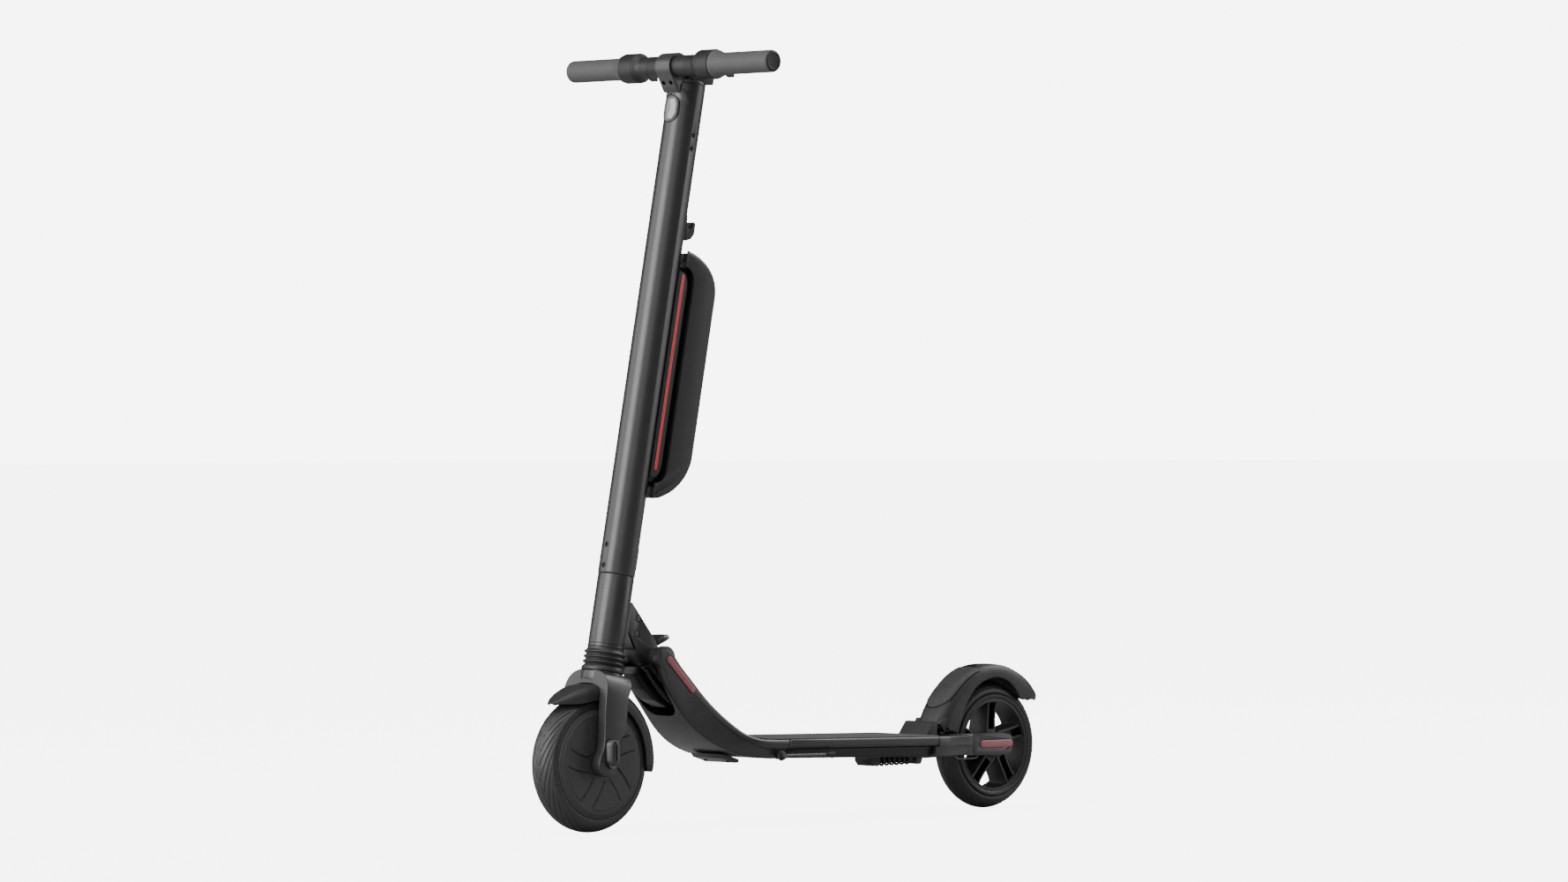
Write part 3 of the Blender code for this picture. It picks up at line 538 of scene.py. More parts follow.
def screw(name, place, body, radius=3.0, material="screw", depth=1.2, proud=0.25):
    """A screw facing +z of its frame, whose hexagon socket is painted near-black as shade."""
    hexagon = [(radius * 0.5 * cos(pi * k / 3), radius * 0.5 * sin(pi * k / 3)) for k in range(6)]
    edge = radius * 0.98
    head = turned(fillet([(edge, -depth), (edge, proud), (0.02, proud), (0.02, -depth)], [0, 0.4, 0, 0], 3),
                  28, ring=True)
    piece(name, head, place, body, material, sharp=30,
          cuts=[(plate(hexagon, -depth * 0.6, proud + 1), place, "cavity")])


def spun(profile, rounding, segments, steps=3):
    """A solid turned from a profile with rounded corners."""
    return turned(fillet(profile, rounding, steps), segments)


# ================================================================ deck and neck
NECK_RADIUS = 17
NECK_SECTIONS = [  # upper point, lower point, half width above, half width below, band step
    (-125.5, 260.5, -101.5, 236.5, 45, 45, 0), (-144, 238, -109, 218, 45, 45, 0),
    (-165, 217, -121, 199, 45, 45, 0), (-186, 196, -135, 181, 45, 45, 0.2),
    (-205, 177.5, -149, 164, 47.5, 46, 0.7), (-222, 162, -165, 147.5, 52, 49, 1.3),
    (-240, 147.5, -182, 134, 57, 53, 1.8), (-256, 136.5, -203, 121, 62, 57, 2.0),
    (-270, 130, -228, 110, 68, 61, 2.2), (-284, 126.5, -258, 101.5, 73, 64, 2.4),
    (-305, deck_top(-305), -300, 97, 75, 66.5, 2.6), (-334, deck_top(-334), -334, 96, 75, 66.5, 2.6),
]
DECK_STATIONS = [(-334.5, 75), (-420, 75), (-560, 75), (-640, 75), (-655, 74), (-668, 72), (-678, 69),
                 (-686, 65), (-694, 60), (-700, 55)]
BAND = 13.5   # height of the raised band along the deck's edge


def frame_section(ux, uz, lx, lz, half_up, half_low, inset, radius, band=BAND):
    """A closed section from an upper to a lower point, with a band that steps in below it."""
    up, low = Vector((ux, uz)), Vector((lx, lz))
    middle, rise = (up + low) / 2, up - low
    h = rise.length / 2
    rise.normalize()

    def half(v, below):
        return half_low + (half_up - half_low) * (v / h + 1) / 2 - (inset if below else 0)

    split = min(max(h - band, -h + radius + 0.4), h - radius - 1.0) if h > radius + 2 else 0.0
    step = 0.9 if h > radius + 2 else 0.05
    side = [(-radius * (1 - up), h - radius * (1 - over), False) for up, over in quarter(8)]
    side += [(0, split + step, False), (0, split + step * 0.2, False), (0, split - step, True)]
    side += [(-radius * (1 - over), -h + radius * (1 - up), True) for up, over in quarter(8)]
    right = []
    for inward, v, below in side:
        point = middle + v * rise
        right.append((point.x, half(v, below) + inward, point.y))
    left = [(x, -y, z) for x, y, z in reversed(right)]
    return right + left


def neck_end(turn):
    """A section of the rounded end of the neck, turned about the folding hinge."""
    out, half = NECK_RADIUS * sin(radians(turn)), NECK_RADIUS * cos(radians(turn))
    x, z = FOLD_PIVOT[0] - 1.5 + out * 0.707, FOLD_PIVOT[1] - 1.5 + out * 0.707
    return x - half * 0.707, z + half * 0.707, x + half * 0.707, z - half * 0.707, 45, 45, 0


def make_frame():
    rows = []
    for turn in (82, 74, 64, 53, 41, 28, 14):
        half = NECK_RADIUS * cos(radians(turn))
        rows.append(frame_section(*neck_end(turn), radius=min(7, half * 0.8)))
    rows += [frame_section(*s, radius=7) for s in curve(NECK_SECTIONS, 6)]
    for x, wide in DECK_STATIONS:
        top = deck_top(x)
        rows.append(frame_section(x, top, x, top - BAND, wide, wide - 1.2, 0, radius=3.2))
    pivot = across(*FOLD_PIVOT)
    mouth = fillet([(34.5, 300), (34.5, 163.5), (-34.5, 163.5), (-34.5, 300)], [0, 26, 26, 0], 12)
    recess = grid([[(-30, y, z) for y, z in mouth], [(z - 369, y, z) for y, z in mouth]])
    lugs = [(box((-684, -666), span(side, 48.5, 55), (85, 107)), AXLE) for side in (-1, 1)]
    # the fold recess, the hinge bores and the opening below the head are lined with near-black painted shade
    piece("frame_body", grid(rows), AXLE, "deck", "paint", "deck_frame",
          joins=[(disc(NECK_RADIUS, -44.8, 44.8), pivot)] + lugs,
          cuts=[(recess, AXLE, "cavity"), (disc(19.5, -34.2, 34.2), pivot, "cavity"),
                (box((-168, -126), (-22.5, 22.5), (201, 275)), AXLE, "cavity"),
                (disc(5.5, -43, 43, 40), pivot, "cavity"), (disc(4.4, -60, 60, 32), across(*SWING_PIVOT))],
          bevel=1.1, segments=3, angle=40)


SHOULDER = [  # x, half width of the band, of the side below, lowest height
    (-644, 75.0, 66.5, 86.8), (-656, 74.7, 66, 86.5), (-668, 73.1, 64.5, 86.2), (-680, 70.0, 62, 86),
    (-692, 66.2, 59.3, 85.8), (-704, 61.9, 56.3, 85.6), (-714, 58.3, 53.8, 85.6), (-722, 55.4, 51.8, 86),
    (-727, 53.7, 50.8, 87.4), (-732, 52.0, 50.0, 91), (-737, 50.6, 49.4, 95), (-742, 49.5, 48.8, 98.6),
]


def make_shoulders():
    """Covers that carry the sides of the deck back over the front of the swingarm."""
    inner, soft = 47.7, 3.0
    for side, tag in TAG.items():
        rows = []
        for x, band, low, bottom in curve(SHOULDER, 4):
            top = deck_top(x) + 0.05 + 0.9 * min(1, max(0, (-x - 700) / 42))
            split = 102 - 2.6 * min(1, max(0, (-x - 690) / 50))
            row = [(inner, top)]
            row += [(band - soft * (1 - up) * min(1, (band - inner) / 5), top - soft * (1 - over))
                    for up, over in quarter(5)]
            row += [(band, split + 1.2), (band - 0.2, split + 0.4), (low + 0.6, split - 0.4),
                    (low, split - 1.2), (low - 0.6, bottom + 3.5), (low - 1.4, bottom + 1.0),
                    (max(inner + 0.2, low - 3.2), bottom), (inner, bottom)]
            rows.append([(x, side * y, z) for y, z in row])
        piece("deck_shoulder_" + tag, grid(rows), AXLE, "deck", "paint", bevel=0.5, angle=50)


def cover_bottom(x):
    return 96 - (-334 - x) * 0.031


def make_cover():
    rows = []
    for x, wide in ((-334.8, 65), (-338, 66), (-360, 66), (-600, 66), (-630, 65), (-648, 61), (-658, 57)):
        top = deck_top(x) - BAND - 0.3
        rows.append(frame_section(x, top, x, cover_bottom(x), wide, wide - 9, 0, radius=4, band=30))
    seat = fillet([(-553, 97), (-553, 82), (-559, 74), (-576, 74), (-576, 97)], [0, 3, 4, 2, 0])
    piece("bottom_cover", grid(rows), AXLE, "deck", "plastic", "deck_bottom_cover",
          joins=[(prism(seat, -15, 15), AXLE)],
          cuts=[(box((-665, -576.3), (-12.6, 12.6), (60, 96.5)), AXLE),
                (box((-350, -349), (-60, 60), (80, 97)), AXLE),
                (box((-540, -539), (-60, 60), (80, 90.6)), AXLE)],
          bevel=0.8, angle=40)
    for k, (x, y) in enumerate((x, y) for x in (-345, -440, -533, -620) for y in (-52, 52)):
        screw(f"cover_screw_{k}", at(AXLE, x, y, cover_bottom(x), pi, "X"), "deck", 2.6)


def make_mat():
    """Ribbed rubber mat, with a flat border."""
    rows, count, pitch = [], 120, 6.4
    stations = [(-300, 62), (-300.6, 64.6), (-302, 66.5), (-305, 68.6), (-309, 70), (-314, 70.5)]
    stations += [(x, 70.5) for x in range(-340, -640, -20)] + [(-640, 70.5), (-645, 69.5), (-649, 67.5),
                                                               (-651.4, 65), (-652, 62)]
    for i, (x, half) in enumerate(stations):
        base = deck_top(x) + 0.3
        ribbed = 1.0 if 4 < i < len(stations) - 5 else 0.0
        ends = 0.55 if i in (0, len(stations) - 1) else 1.5
        row = [(x, half, base), (x, half, base + ends * 0.6), (x, half - 0.7, base + ends)]
        for k in range(count + 1):
            y = (half - 1.2) * (1 - 2 * k / count)
            rib = -0.45 * ribbed * (0.5 - 0.5 * cos(2 * pi * y / pitch)) ** 2 if abs(y) < 64 else 0
            row.append((x, y, base + ends + rib))
        row += [(x, -half + 0.7, base + ends), (x, -half, base + ends * 0.6), (x, -half, base)]
        rows.append(row)
    piece("deck_mat_ribbed", grid(rows), AXLE, "deck", "mat", "deck_mat")


def make_deck_fittings():
    skid = fillet([(-231, 105.5), (-236, 99), (-262, 91.2), (-268, 91.8), (-268.4, 96.4), (-262, 98.4),
                   (-240, 104.8)], [0.5, 3, 2, 1.2, 1, 2, 2])
    piece("skid_bar", prism(skid, -32, 32), AXLE, "deck", "paint", "skid_plate", bevel=0.9, segments=3)
    skid_slope = 0.29
    for side in (-1, 1):
        place = at(AXLE, -255, side * 24, 93.2, pi + skid_slope, "Y")
        screw("skid_screw_" + TAG[side][0], place, "deck", 3.4)
    nose = fillet([(-660.5, deck_top(-661) + 0.2), (-676, 137), (-684, 137), (-684, deck_top(-684) + 0.2)],
                  [0.5, 4.5, 1.5, 0.5])
    piece("nose_cover", prism(nose, -30, 30), AXLE, "deck", "plastic_soft", "rear_nose_cover",
          cuts=[(box((-681.2, -680.4), (-40, 40), (135.9, 140)), AXLE)], bevel=1.6, segments=3)
    coil = sweep(helix(8.5, 0, 75, 7), 1.9, 12)
    place = at(AXLE, -578.5, 0, 82.5, -pi / 2, "Y")
    piece("rear_coil", coil, place, "deck", "spring_steel", "rear_spring")
    rod = spun([(0.02, -2), (6.3, -2), (6.3, 68), (0.02, 68)], [0, 0, 1.2, 0], 40)
    piece("rear_coil_guide", rod, place, "deck", "rubber")
    half = [(4, 55.2), (6.2, 55.2), (6.2, 56.8), (4, 57.4), (0.02, 57.4)]
    pin = spun([(r, -y) for r, y in reversed(half)] + half, 0.4, 32, 2)
    piece("swing_bolt", pin, across(*SWING_PIVOT), "deck", "screw", "swingarm_pin")


def make_neck_fittings():
    outline, rim = (capsule((-117.4, 247.4), (-163.2, 202.4), radius, 16) for radius in (4.7, 5.5))
    for side, tag in TAG.items():
        lens = pillow(outline, side * 45.3, side * 46.8, 0.7, 4, 0.15)
        piece("neck_reflector_lens_" + tag, lens, AXLE, "deck", "reflector", "neck_reflector_" + tag)
        seat = [[(x, side * y, z) for x, z in line]
                for line, y in ((rim, 44.7), (rim, 45.35), (outline, 45.35), (outline, 44.7))]
        piece("neck_reflector_seat_" + tag, grid(seat, closed_rows=True), AXLE, "deck", "plastic")
    # the latch and the ribs in the fold recess are painted near-black as shade
    latch = fillet([(-84, 239), (-80, 226), (-96, 204), (-114, 188), (-140, 176), (-156, 180), (-148, 196),
                    (-132, 212), (-120, 224), (-104, 227)], [3, 4, 10, 10, 8, 6, 8, 8, 6, 4])
    piece("latch_body", prism(latch, -15, 15), AXLE, "deck", "cavity", "fold_latch", bevel=2.0, segments=3)
    rib = arc(FOLD_PIVOT, 15.4, range(195, 336, 10)) + arc(FOLD_PIVOT, 27, range(335, 194, -10))
    for side in (-1, 1):
        piece("recess_rib_" + TAG[side][0], prism(rib, *span(side, 21.5, 34.3)), AXLE, "deck", "cavity",
              bevel=0.8)
    route = [(-90, 25, 232), (-97, 25.5, 222), (-106, 26, 211), (-116, 26, 201), (-127, 25.5, 192),
             (-139, 25, 185), (-151, 24, 180), (-163, 23, 177)]
    path = curve(route, 6)
    radii = [3.0 + 0.22 * sin(i * 2.1) for i in range(len(path))]
    piece("cable_sleeve_ribbed", sweep(path, radii, 16), AXLE, "deck", "rubber", "cable_sleeve")


def make_kickstand():
    """The folded kickstand; its hub leans outwards, so that the foot swings clear of the deck."""
    x, y, z = -314, 74.5, 101
    hub_place = at(AXLE, x, y, z, radians(15), "X") @ ALONG_Y
    hub = tube(7, 3.6, -2, 3, 40, 0.6)
    path = curve([(x - 4.5, y + 0.3, z - 0.2), (x - 16, y + 0.4, z - 0.4), (x - 30, y + 0.5, z - 0.6),
                  (x - 60, y + 0.5, z - 1.2), (x - 92, y + 0.5, z - 1.8), (x - 104, y + 1.2, z - 1)], 5)
    leg = sweep(path, 3.3, 16)
    piece("kickstand_bar", hub, hub_place, "kickstand", "paint", "kickstand_leg", joins=[(leg, AXLE)])
    foot = sweep([(x - 90, y + 0.5, z - 1.8), (x - 106, y + 1.3, z - 0.9)], 4.0, 20)
    piece("kickstand_foot", foot, AXLE, "kickstand", "rubber")
    bolt = spun([(0.02, -10), (3, -10), (3, 3.4), (5.5, 3.4), (5.5, 5.6), (0.02, 5.6)],
                [0, 0, 0, 0.3, 0.8, 0], 32)
    piece("kickstand_bolt", bolt, hub_place, "deck", "screw")


# ================================================================ folding head
WING_SCREWS = ((-79.6, 307.1), (-75.8, 285.4))


def make_head():
    wing = fillet([(-40, 331), (-67.5, 331), (-111, 277.5), (-125.2, 254), (-125.8, 247), (-122, 240.5),
                   (-115, 236.5), (-106, 237.5), (-98, 243), (-78, 262.5), (-40, 268)],
                  [0, 4, 30, 6, 5, 5, 5, 5, 6, 10, 0])
    column = fillet([(22, 168.3), (26.5, 168.3), (26.5, 172.2), (25.7, 172.6), (25.7, 173.4), (26.5, 173.8),
                     (26.5, 274.8), (22, 274.8)], [0.3, 0.8, 0.2, 0.2, 0.2, 0.2, 0.8, 0.3], 2)
    groove = fillet([(-58, 288), (-61.5, 286.5), (-76, 260.5), (-72.5, 259)], 0.5, 2)
    # the groove along the wing, the rings round the wing screws and the bore of the column are lined with
    # near-black painted shade
    cuts = []
    for side in (-1, 1):
        cuts.append((prism(groove, *span(side, 16.5, 21)), AXLE, "cavity"))
        for x, z in WING_SCREWS:
            ring = tube(5.4, 3.9, side * 20 - 0.8, side * 20 + 0.8, 40)
            cuts.append((ring, across(x, z), "cavity"))
    piece("head_casting", turned(column, 128, ring=True), COLUMN, "head", "stem_paint", "head_block",
          joins=[(prism(wing, -20, 20), AXLE, "paint"),
                 (disc(14, -33.8, 33.8), across(*FOLD_PIVOT), "paint")],
          cuts=[(disc(22, 160, 285), COLUMN, "cavity")] + cuts, bevel=1.2, segments=3, angle=42)
    for side in (-1, 1):
        for k, (x, z) in enumerate(WING_SCREWS):
            place = at(across(x, z), z=side * 20, turn=pi if side < 0 else 0)
            screw(f"wing_screw_{TAG[side][0]}{k}", place, "head", 3.9, "steel_dark", depth=1.6, proud=0.3)
    pin = spun([(0.02, -42.7), (4.2, -42.7), (5, -41.9), (5, 41.9), (4.2, 42.7), (0.02, 42.7)], 0.2, 40, 2)
    piece("hinge_pin_polished", pin, across(*FOLD_PIVOT), "head", "screw", "fold_hinge_pin")
    pedal = fillet([(-118, 269), (-123.5, 266.5), (-130, 269), (-141, 274), (-149.4, 279.4), (-147, 282.5),
                    (-136, 282.6), (-125, 279.2), (-119, 274)], [1, 2, 6, 6, 1.2, 1.2, 6, 4, 2])
    rows, half = [], 18
    for y in np.linspace(-half, half, 17):
        edge = 1 - abs(y / half) ** 6 * 0.35
        reach = 1 - abs(y / half) ** 3 * 0.22
        rows.append([(-121.5 + (x + 121.5) * reach, y, 272 + (z - 272) * edge) for x, z in pedal])
    piece("pedal_plate", grid(rows), AXLE, "fold_pedal", "paint", "fold_pedal", bevel=0.5)


# ================================================================ steering column
STEM_RADIUS = 27
FRONT_SCREWS = (316.4, 286.2)
SIDE_SCREWS = (927.9, 907.9)


def make_stem():
    profile = [(24.6, 275.4), (25.9, 275.4), (26.7, 276.1), (27, 277.4), (27, 1001), (26.6, 1003.4),
               (25.6, 1004), (24.6, 1004)]
    front, side_hole = disc(4, 20, 30, 40), disc(3.7, 20, 30, 32)
    # the screw holes are lined with near-black painted shade
    holes = [(front, at(COLUMN, z=s, turn=pi / 2, about="Y"), "cavity") for s in FRONT_SCREWS]
    holes += [(side_hole, at(COLUMN, -1.8, 0, s, -pi / 2, "X"), "cavity") for s in SIDE_SCREWS]
    piece("stem_shell", turned(profile, 160, ring=True), COLUMN, "steer", "stem_paint", "stem_tube",
          cuts=holes, bevel=0.5, angle=50)
    for k, s in enumerate(FRONT_SCREWS):
        screw(f"stem_screw_{k}", at(COLUMN, 25.4, 0, s, pi / 2, "Y"), "steer", 3.7, depth=1.0)
    for k, s in enumerate(SIDE_SCREWS):
        screw(f"stem_side_screw_{k}", at(COLUMN, -1.8, 25.6, s, -pi / 2, "X"), "steer", 3.1, depth=1.0)


def bolt_place(side):
    """Frame of a clamp bolt: +z comes out of the sloping front of the cap."""
    return at(COLUMN, 39.6, side * 7.6, 998.2, radians(130), "Y")


def make_stem_cap():
    nose = [(10, 1004.5), (26.5, 1000), (27.2, 986.5), (31, 987.5), (44, 1003.5)]
    nose += arc((BAR_D, BAR_S), 20, range(-45, 101, 9))
    nose += [(22, 1041), (16.5, 1034), (14.8, 1024), (16, 1009), (10, 1009)]
    collar = fillet([(24, 962), (24, 1009), (26.5, 1009), (26.5, 1004.3), (24.55, 1004.3), (24.55, 962)],
                    [0, 1.5, 1.5, 0, 0, 0], 3)
    # the bolt holes are lined with near-black painted shade
    bolts = [(disc(3.4, -20, 26, 32), bolt_place(side), "cavity") for side in (-1, 1)]
    piece("stem_cap_body", turned(collar, 128, ring=True), COLUMN, "steer", "clamp_paint", "stem_cap",
          joins=[(prism(nose, -15, 15), COLUMN)],
          cuts=[(disc(16.1, -30, 30, 96), BAR)] + bolts, bevel=1.0, segments=3, angle=42)
    for side in (-1, 1):
        screw("cap_bolt_" + TAG[side][0], at(bolt_place(side), z=-3.2), "steer", 3.0, depth=2)


def make_saddle():
    """The saddle below the cap wraps the stem, its lower edge falling away to each side."""
    rows = []
    for lift in (0.05, 1.4):
        top, low = [], []
        for a in np.linspace(-66, 66, 45):
            r = STEM_RADIUS + lift * (1 - 0.75 * (abs(a) / 66) ** 4)
            x, y = r * cos(radians(a)), r * sin(radians(a))
            drop = 992 - 6 - 17 * abs(a) / 66
            low.append((x, y, drop))
            top.append((x, y, max(1000 - 12 * abs(a) / 66 * 1.1, drop + 1.2)))
        rows += [low, top] if lift < 1 else [top, low]
    points, faces = grid(rows, closed_rows=True, closed_cols=False)
    ends = [[0, 45, 90, 135], [179, 134, 89, 44]]
    piece("cap_saddle", (points, faces + ends), COLUMN, "steer", "stem_paint", bevel=0.25)


def wrap(y):
    """How far the headlight's rim falls back around the stem."""
    return 0.012 * y * y


def make_headlight():
    radius, middle = 14.2, 963
    outline, rim = (capsule((0, middle - 5.7), (0, middle + 5.7), r, 24) for r in (radius, 15.4))
    rows = []
    for inset, d in ((0, 18), (0, 26.4), (0.5, 28.2), (1.6, 29.5), (3.6, 30.5), (6.5, 31.2), (9.5, 31.6),
                     (12, 31.7)):
        rows.append([(d - wrap(y) * (1 if inset < 9 else 0.4), y * (radius - inset) / radius,
                      middle + (s - middle) * (1 - inset / 19.9)) for y, s in outline])
    piece("headlight_glass", grid(rows), COLUMN, "steer", "lens", "headlight_lens")
    ring = [[(18, y, s) for y, s in rim], [(26.9 - wrap(y), y, s) for y, s in rim],
            [(27.7 - wrap(y), y * 0.97, s) for y, s in rim],
            [(27.7 - wrap(y), y, s) for y, s in outline], [(18, y, s) for y, s in outline]]
    piece("headlight_bezel", grid(ring, closed_rows=True), COLUMN, "steer", "plastic")


def make_stem_fittings():
    hook = fillet([(-26.9, 779), (-26.9, 816), (-31, 816), (-32.5, 801), (-37, 796.5), (-42, 800), (-43, 807),
                   (-46, 809), (-49, 806), (-49, 791), (-44, 783), (-36, 779)],
                  [0, 0, 2.5, 4, 3, 3, 2, 1.5, 1.8, 5, 4, 4])
    piece("hook_body", prism(hook, -8, 8), COLUMN, "steer", "plastic", "stem_hook", bevel=1.2, segments=3)
    cap = fillet([(-26.4, 286.3), (-29.5, 286.3), (-30.6, 289), (-30.6, 319), (-29.5, 322), (-26.4, 322)],
                 [0, 1.2, 1, 1, 1.2, 0])
    piece("charge_flap", prism(cap, -8, 8), COLUMN, "charge_cap", "rubber", "charge_cap", bevel=1.4,
          segments=3)


# ================================================================ battery pack on the stem
PACK_LOW, PACK_HIGH, PACK_DEPTH = 389.5, 763.5, 91


def pack_outline(front, inset, steps=28):
    """The pack seen from the side: two superellipse quarters, cut off in front."""
    lower_run, upper_run, fall = 78 - inset, 63 - inset, PACK_DEPTH - inset - 4
    points = []
    for i in range(steps + 1):
        a = radians(8 + 82 * i / steps)
        points.append((-4 - fall * sin(a) ** (2 / 1.9), PACK_LOW + 78 - lower_run * cos(a) ** (2 / 1.9)))
    for i in range(steps + 1):
        a = radians(90 - 82 * i / steps)
        points.append((-4 - fall * sin(a) ** (2 / 2.3), PACK_HIGH - 63 + upper_run * cos(a) ** (2 / 2.3)))
    return [(min(d, front), s) for d, s in points]


def pack_arch(deep, rise, shrink=0.0, steps=14):
    """The window in the side of the pack: straight at the back, arching to the stem at both ends."""
    low, high = PACK_LOW + 27 + shrink, PACK_HIGH - 27 - shrink
    upper = [(-20 - (deep - 20) * up, high - rise + rise * over) for up, over in quarter(steps)]
    lower = [(-20 - (deep - 20) * up, low + rise - rise * over) for up, over in quarter(steps)]
    return [(0, high)] + upper + lower[::-1] + [(0, low)]


def make_pack():
    layers = [(0.45, 0), (0.9, 0), (8, 0), (16, 0)]
    layers += [(20 + 12 * up, 9 * (1 - over) ** 1.15) for up, over in quarter(8)]
    full = [(-y, inset) for y, inset in reversed(layers)] + [(0, 0.55)] + layers
    rows = [[(d, y, s) for d, s in pack_outline(-22.5, inset)] for y, inset in full]
    # the window in the side and the channel for the stem are lined with near-black painted shade
    piece("pack_case", grid(rows), COLUMN, "steer", "plastic_soft", "pack_shell",
          cuts=[(prism(pack_arch(41, 26), -40, 40), COLUMN, "cavity"),
                (box((-37.2, 0), (-27.4, 27.4), (370, 780)), COLUMN, "cavity")], bevel=0.7, angle=45)
    cradle = prism(pack_arch(32.5, 22, 8), -26.9, 26.9)
    piece("pack_cradle", cradle, COLUMN, "steer", "plastic_soft", "pack_saddle", bevel=0.8,
          cuts=[(disc(27.3, 380, 780, 96), COLUMN), (box((-14, 30), (-60, 60), (370, 790)), COLUMN)])
    # a near-black block filling the gap between the cradle and the case: painted shadow
    core = prism(pack_arch(41.5, 25, 1), -22.5, 22.5)
    piece("pack_gap_shade", core, COLUMN, "steer", "cavity", cuts=[(disc(27.4, 380, 780, 96), COLUMN)])
    outline = capsule((-21.5, 437.3), (-21.5, 722.7), 2.3, 10)
    for side, tag in TAG.items():
        line = pillow(outline, side * 26.5, side * 28.2, 0.7, 3, 0.1)
        piece("pack_line_" + tag, line, COLUMN, "steer", "stripe", "pack_stripe_" + tag)


# ================================================================ handlebar
def make_handlebar():
    half = [(15.8, 0.5), (15.8, 39), (15.45, 39.3), (15.45, 39.9), (15.8, 40.2), (15.8, 54), (16.3, 57),
            (17.6, 60), (19.5, 62.8), (21.1, 64.9), (21.9, 66.2), (21.7, 67), (12, 67), (12, 205)]
    outer = [(r, -y) for r, y in reversed(half)] + half
    piece("bar_tube", turned(outer + [(9.5, 205), (9.5, -205)], 96, ring=True), BAR, "steer", "plastic",
          "handlebar_tube", bevel=0.4, angle=45)
    for side, tag in TAG.items():
        grip = [(12.3, 95), (20.4, 95), (21, 95.6), (21, 97), (20.4, 99), (18.9, 102.2), (17.5, 105.6),
                (16.8, 109), (16.4, 114), (16.3, 120)]
        grip += [(16.3, y) for y in np.arange(124, 206, 3)]
        grip += [(16.3, 208), (16.1, 211), (15.5, 212.8), (14.6, 213.4), (14.3, 212.6), (14.3, 206),
                 (12.3, 205.6)]
        piece("grip_sleeve_" + tag, turned([(r, side * y) for r, y in grip], 96, ring=True), BAR, "steer",
              "grip", "grip_" + tag)
        end = fillet([(0.02, 190), (9.2, 190), (9.2, 205.9), (14.0, 206.4), (14.0, 213.6), (12.4, 215),
                      (10.5, 214.2), (0.02, 213.8)], [0, 0, 0, 0.2, 0.8, 0.6, 1, 0], 4)
        piece("bar_plug_" + tag, turned([(r, side * y) for r, y in end], 64), BAR, "steer", "plastic",
              "bar_end_" + tag)


def from_bar(outline):
    return [(BAR_D + d, BAR_S + s) for d, s in outline]


def make_controls():
    """A housing and a thumb lever beside each grip; the housing is slotted where the lever passes."""
    ring = fillet([(12.3, 67.4), (21.98, 67.4), (21.98, 94.6), (12.3, 94.6), (12.3, 90), (18.2, 90),
                   (18.2, 73), (12.3, 73)], [0, 0.8, 1.0, 0, 0, 0, 0, 0], 4)
    slot = from_bar([(-30, 15), (-10, 8), (-5, -18), (-16, -40), (-34, -34)])
    paddle = from_bar(fillet([(-13.5, 4.0), (-30, 1.5), (-43, -3), (-46, -7), (-44, -9.5), (-30, -6),
                              (-13.5, -5.2)], [0, 8, 4, 2, 2, 8, 0]))
    for side, control in ((-1, "throttle"), (1, "brake")):
        # the slot is lined with near-black painted shade
        piece(control + "_case", turned([(r, side * h) for r, h in ring], 96, ring=True), BAR, "steer",
              "plastic", control + "_housing", bevel=0.5,
              cuts=[(prism(slot, *span(side, 75, 88)), COLUMN, "cavity")])
        y = span(side, 76, 87)
        piece(control + "_paddle", tube(17.4, 12.6, *y, 64, 0.5), BAR, control, "plastic",
              control + "_lever", joins=[(prism(paddle, *y), COLUMN)], bevel=1.0, segments=3)


def make_dash():
    dash = fillet([(-29, 1009.6), (-29, 1022), (-26, 1025), (10, 1032), (13, 1031), (13.8, 1024),
                   (15.2, 1009.6)], [2, 2, 3, 2, 1, 0.5, 0])
    top = at(COLUMN, -8, 0, 1028.5, -atan2(7, 36), "Y")
    button_place = at(COLUMN, -12)
    window = plate(fillet([(-14, -19), (15, -19), (15, 19), (-14, 19)], 4), -0.5, 3)
    # the display window and the button hole are lined with near-black painted shade
    piece("dash_body", prism(dash, -24, 24), COLUMN, "steer", "plastic", "dash_housing", bevel=1.2,
          segments=3, cuts=[(window, top, "cavity"), (disc(5.5, 1018, 1040, 48), button_place, "cavity")])
    glass = plate(fillet([(-13.6, -18.6), (14.6, -18.6), (14.6, 18.6), (-13.6, 18.6)], 3.8), -0.8, -0.05)
    piece("dash_glass", glass, top, "steer", "glass", bevel=0.2,
          cuts=[(disc(5.9, 1015, 1045, 48), button_place, "glass")])
    lamp = spun([(0.02, -0.3), (1.1, -0.3), (1.1, 0.12), (0.02, 0.2)], [0, 0, 0.3, 0], 20, 2)
    for k in range(5):
        piece(f"dash_lamp_{k}", lamp, at(top, 9.5, -8 + 4 * k), "steer", "lens")
    button = spun([(0.02, 1020.5), (5.1, 1020.5), (5.1, 1029.6), (3.4, 1029.3), (0.02, 1029.1)],
                  [0, 0.3, 0.8, 0.8, 0], 48)
    piece("button_top", button, button_place, "power_button", "plastic_soft", "power_button")


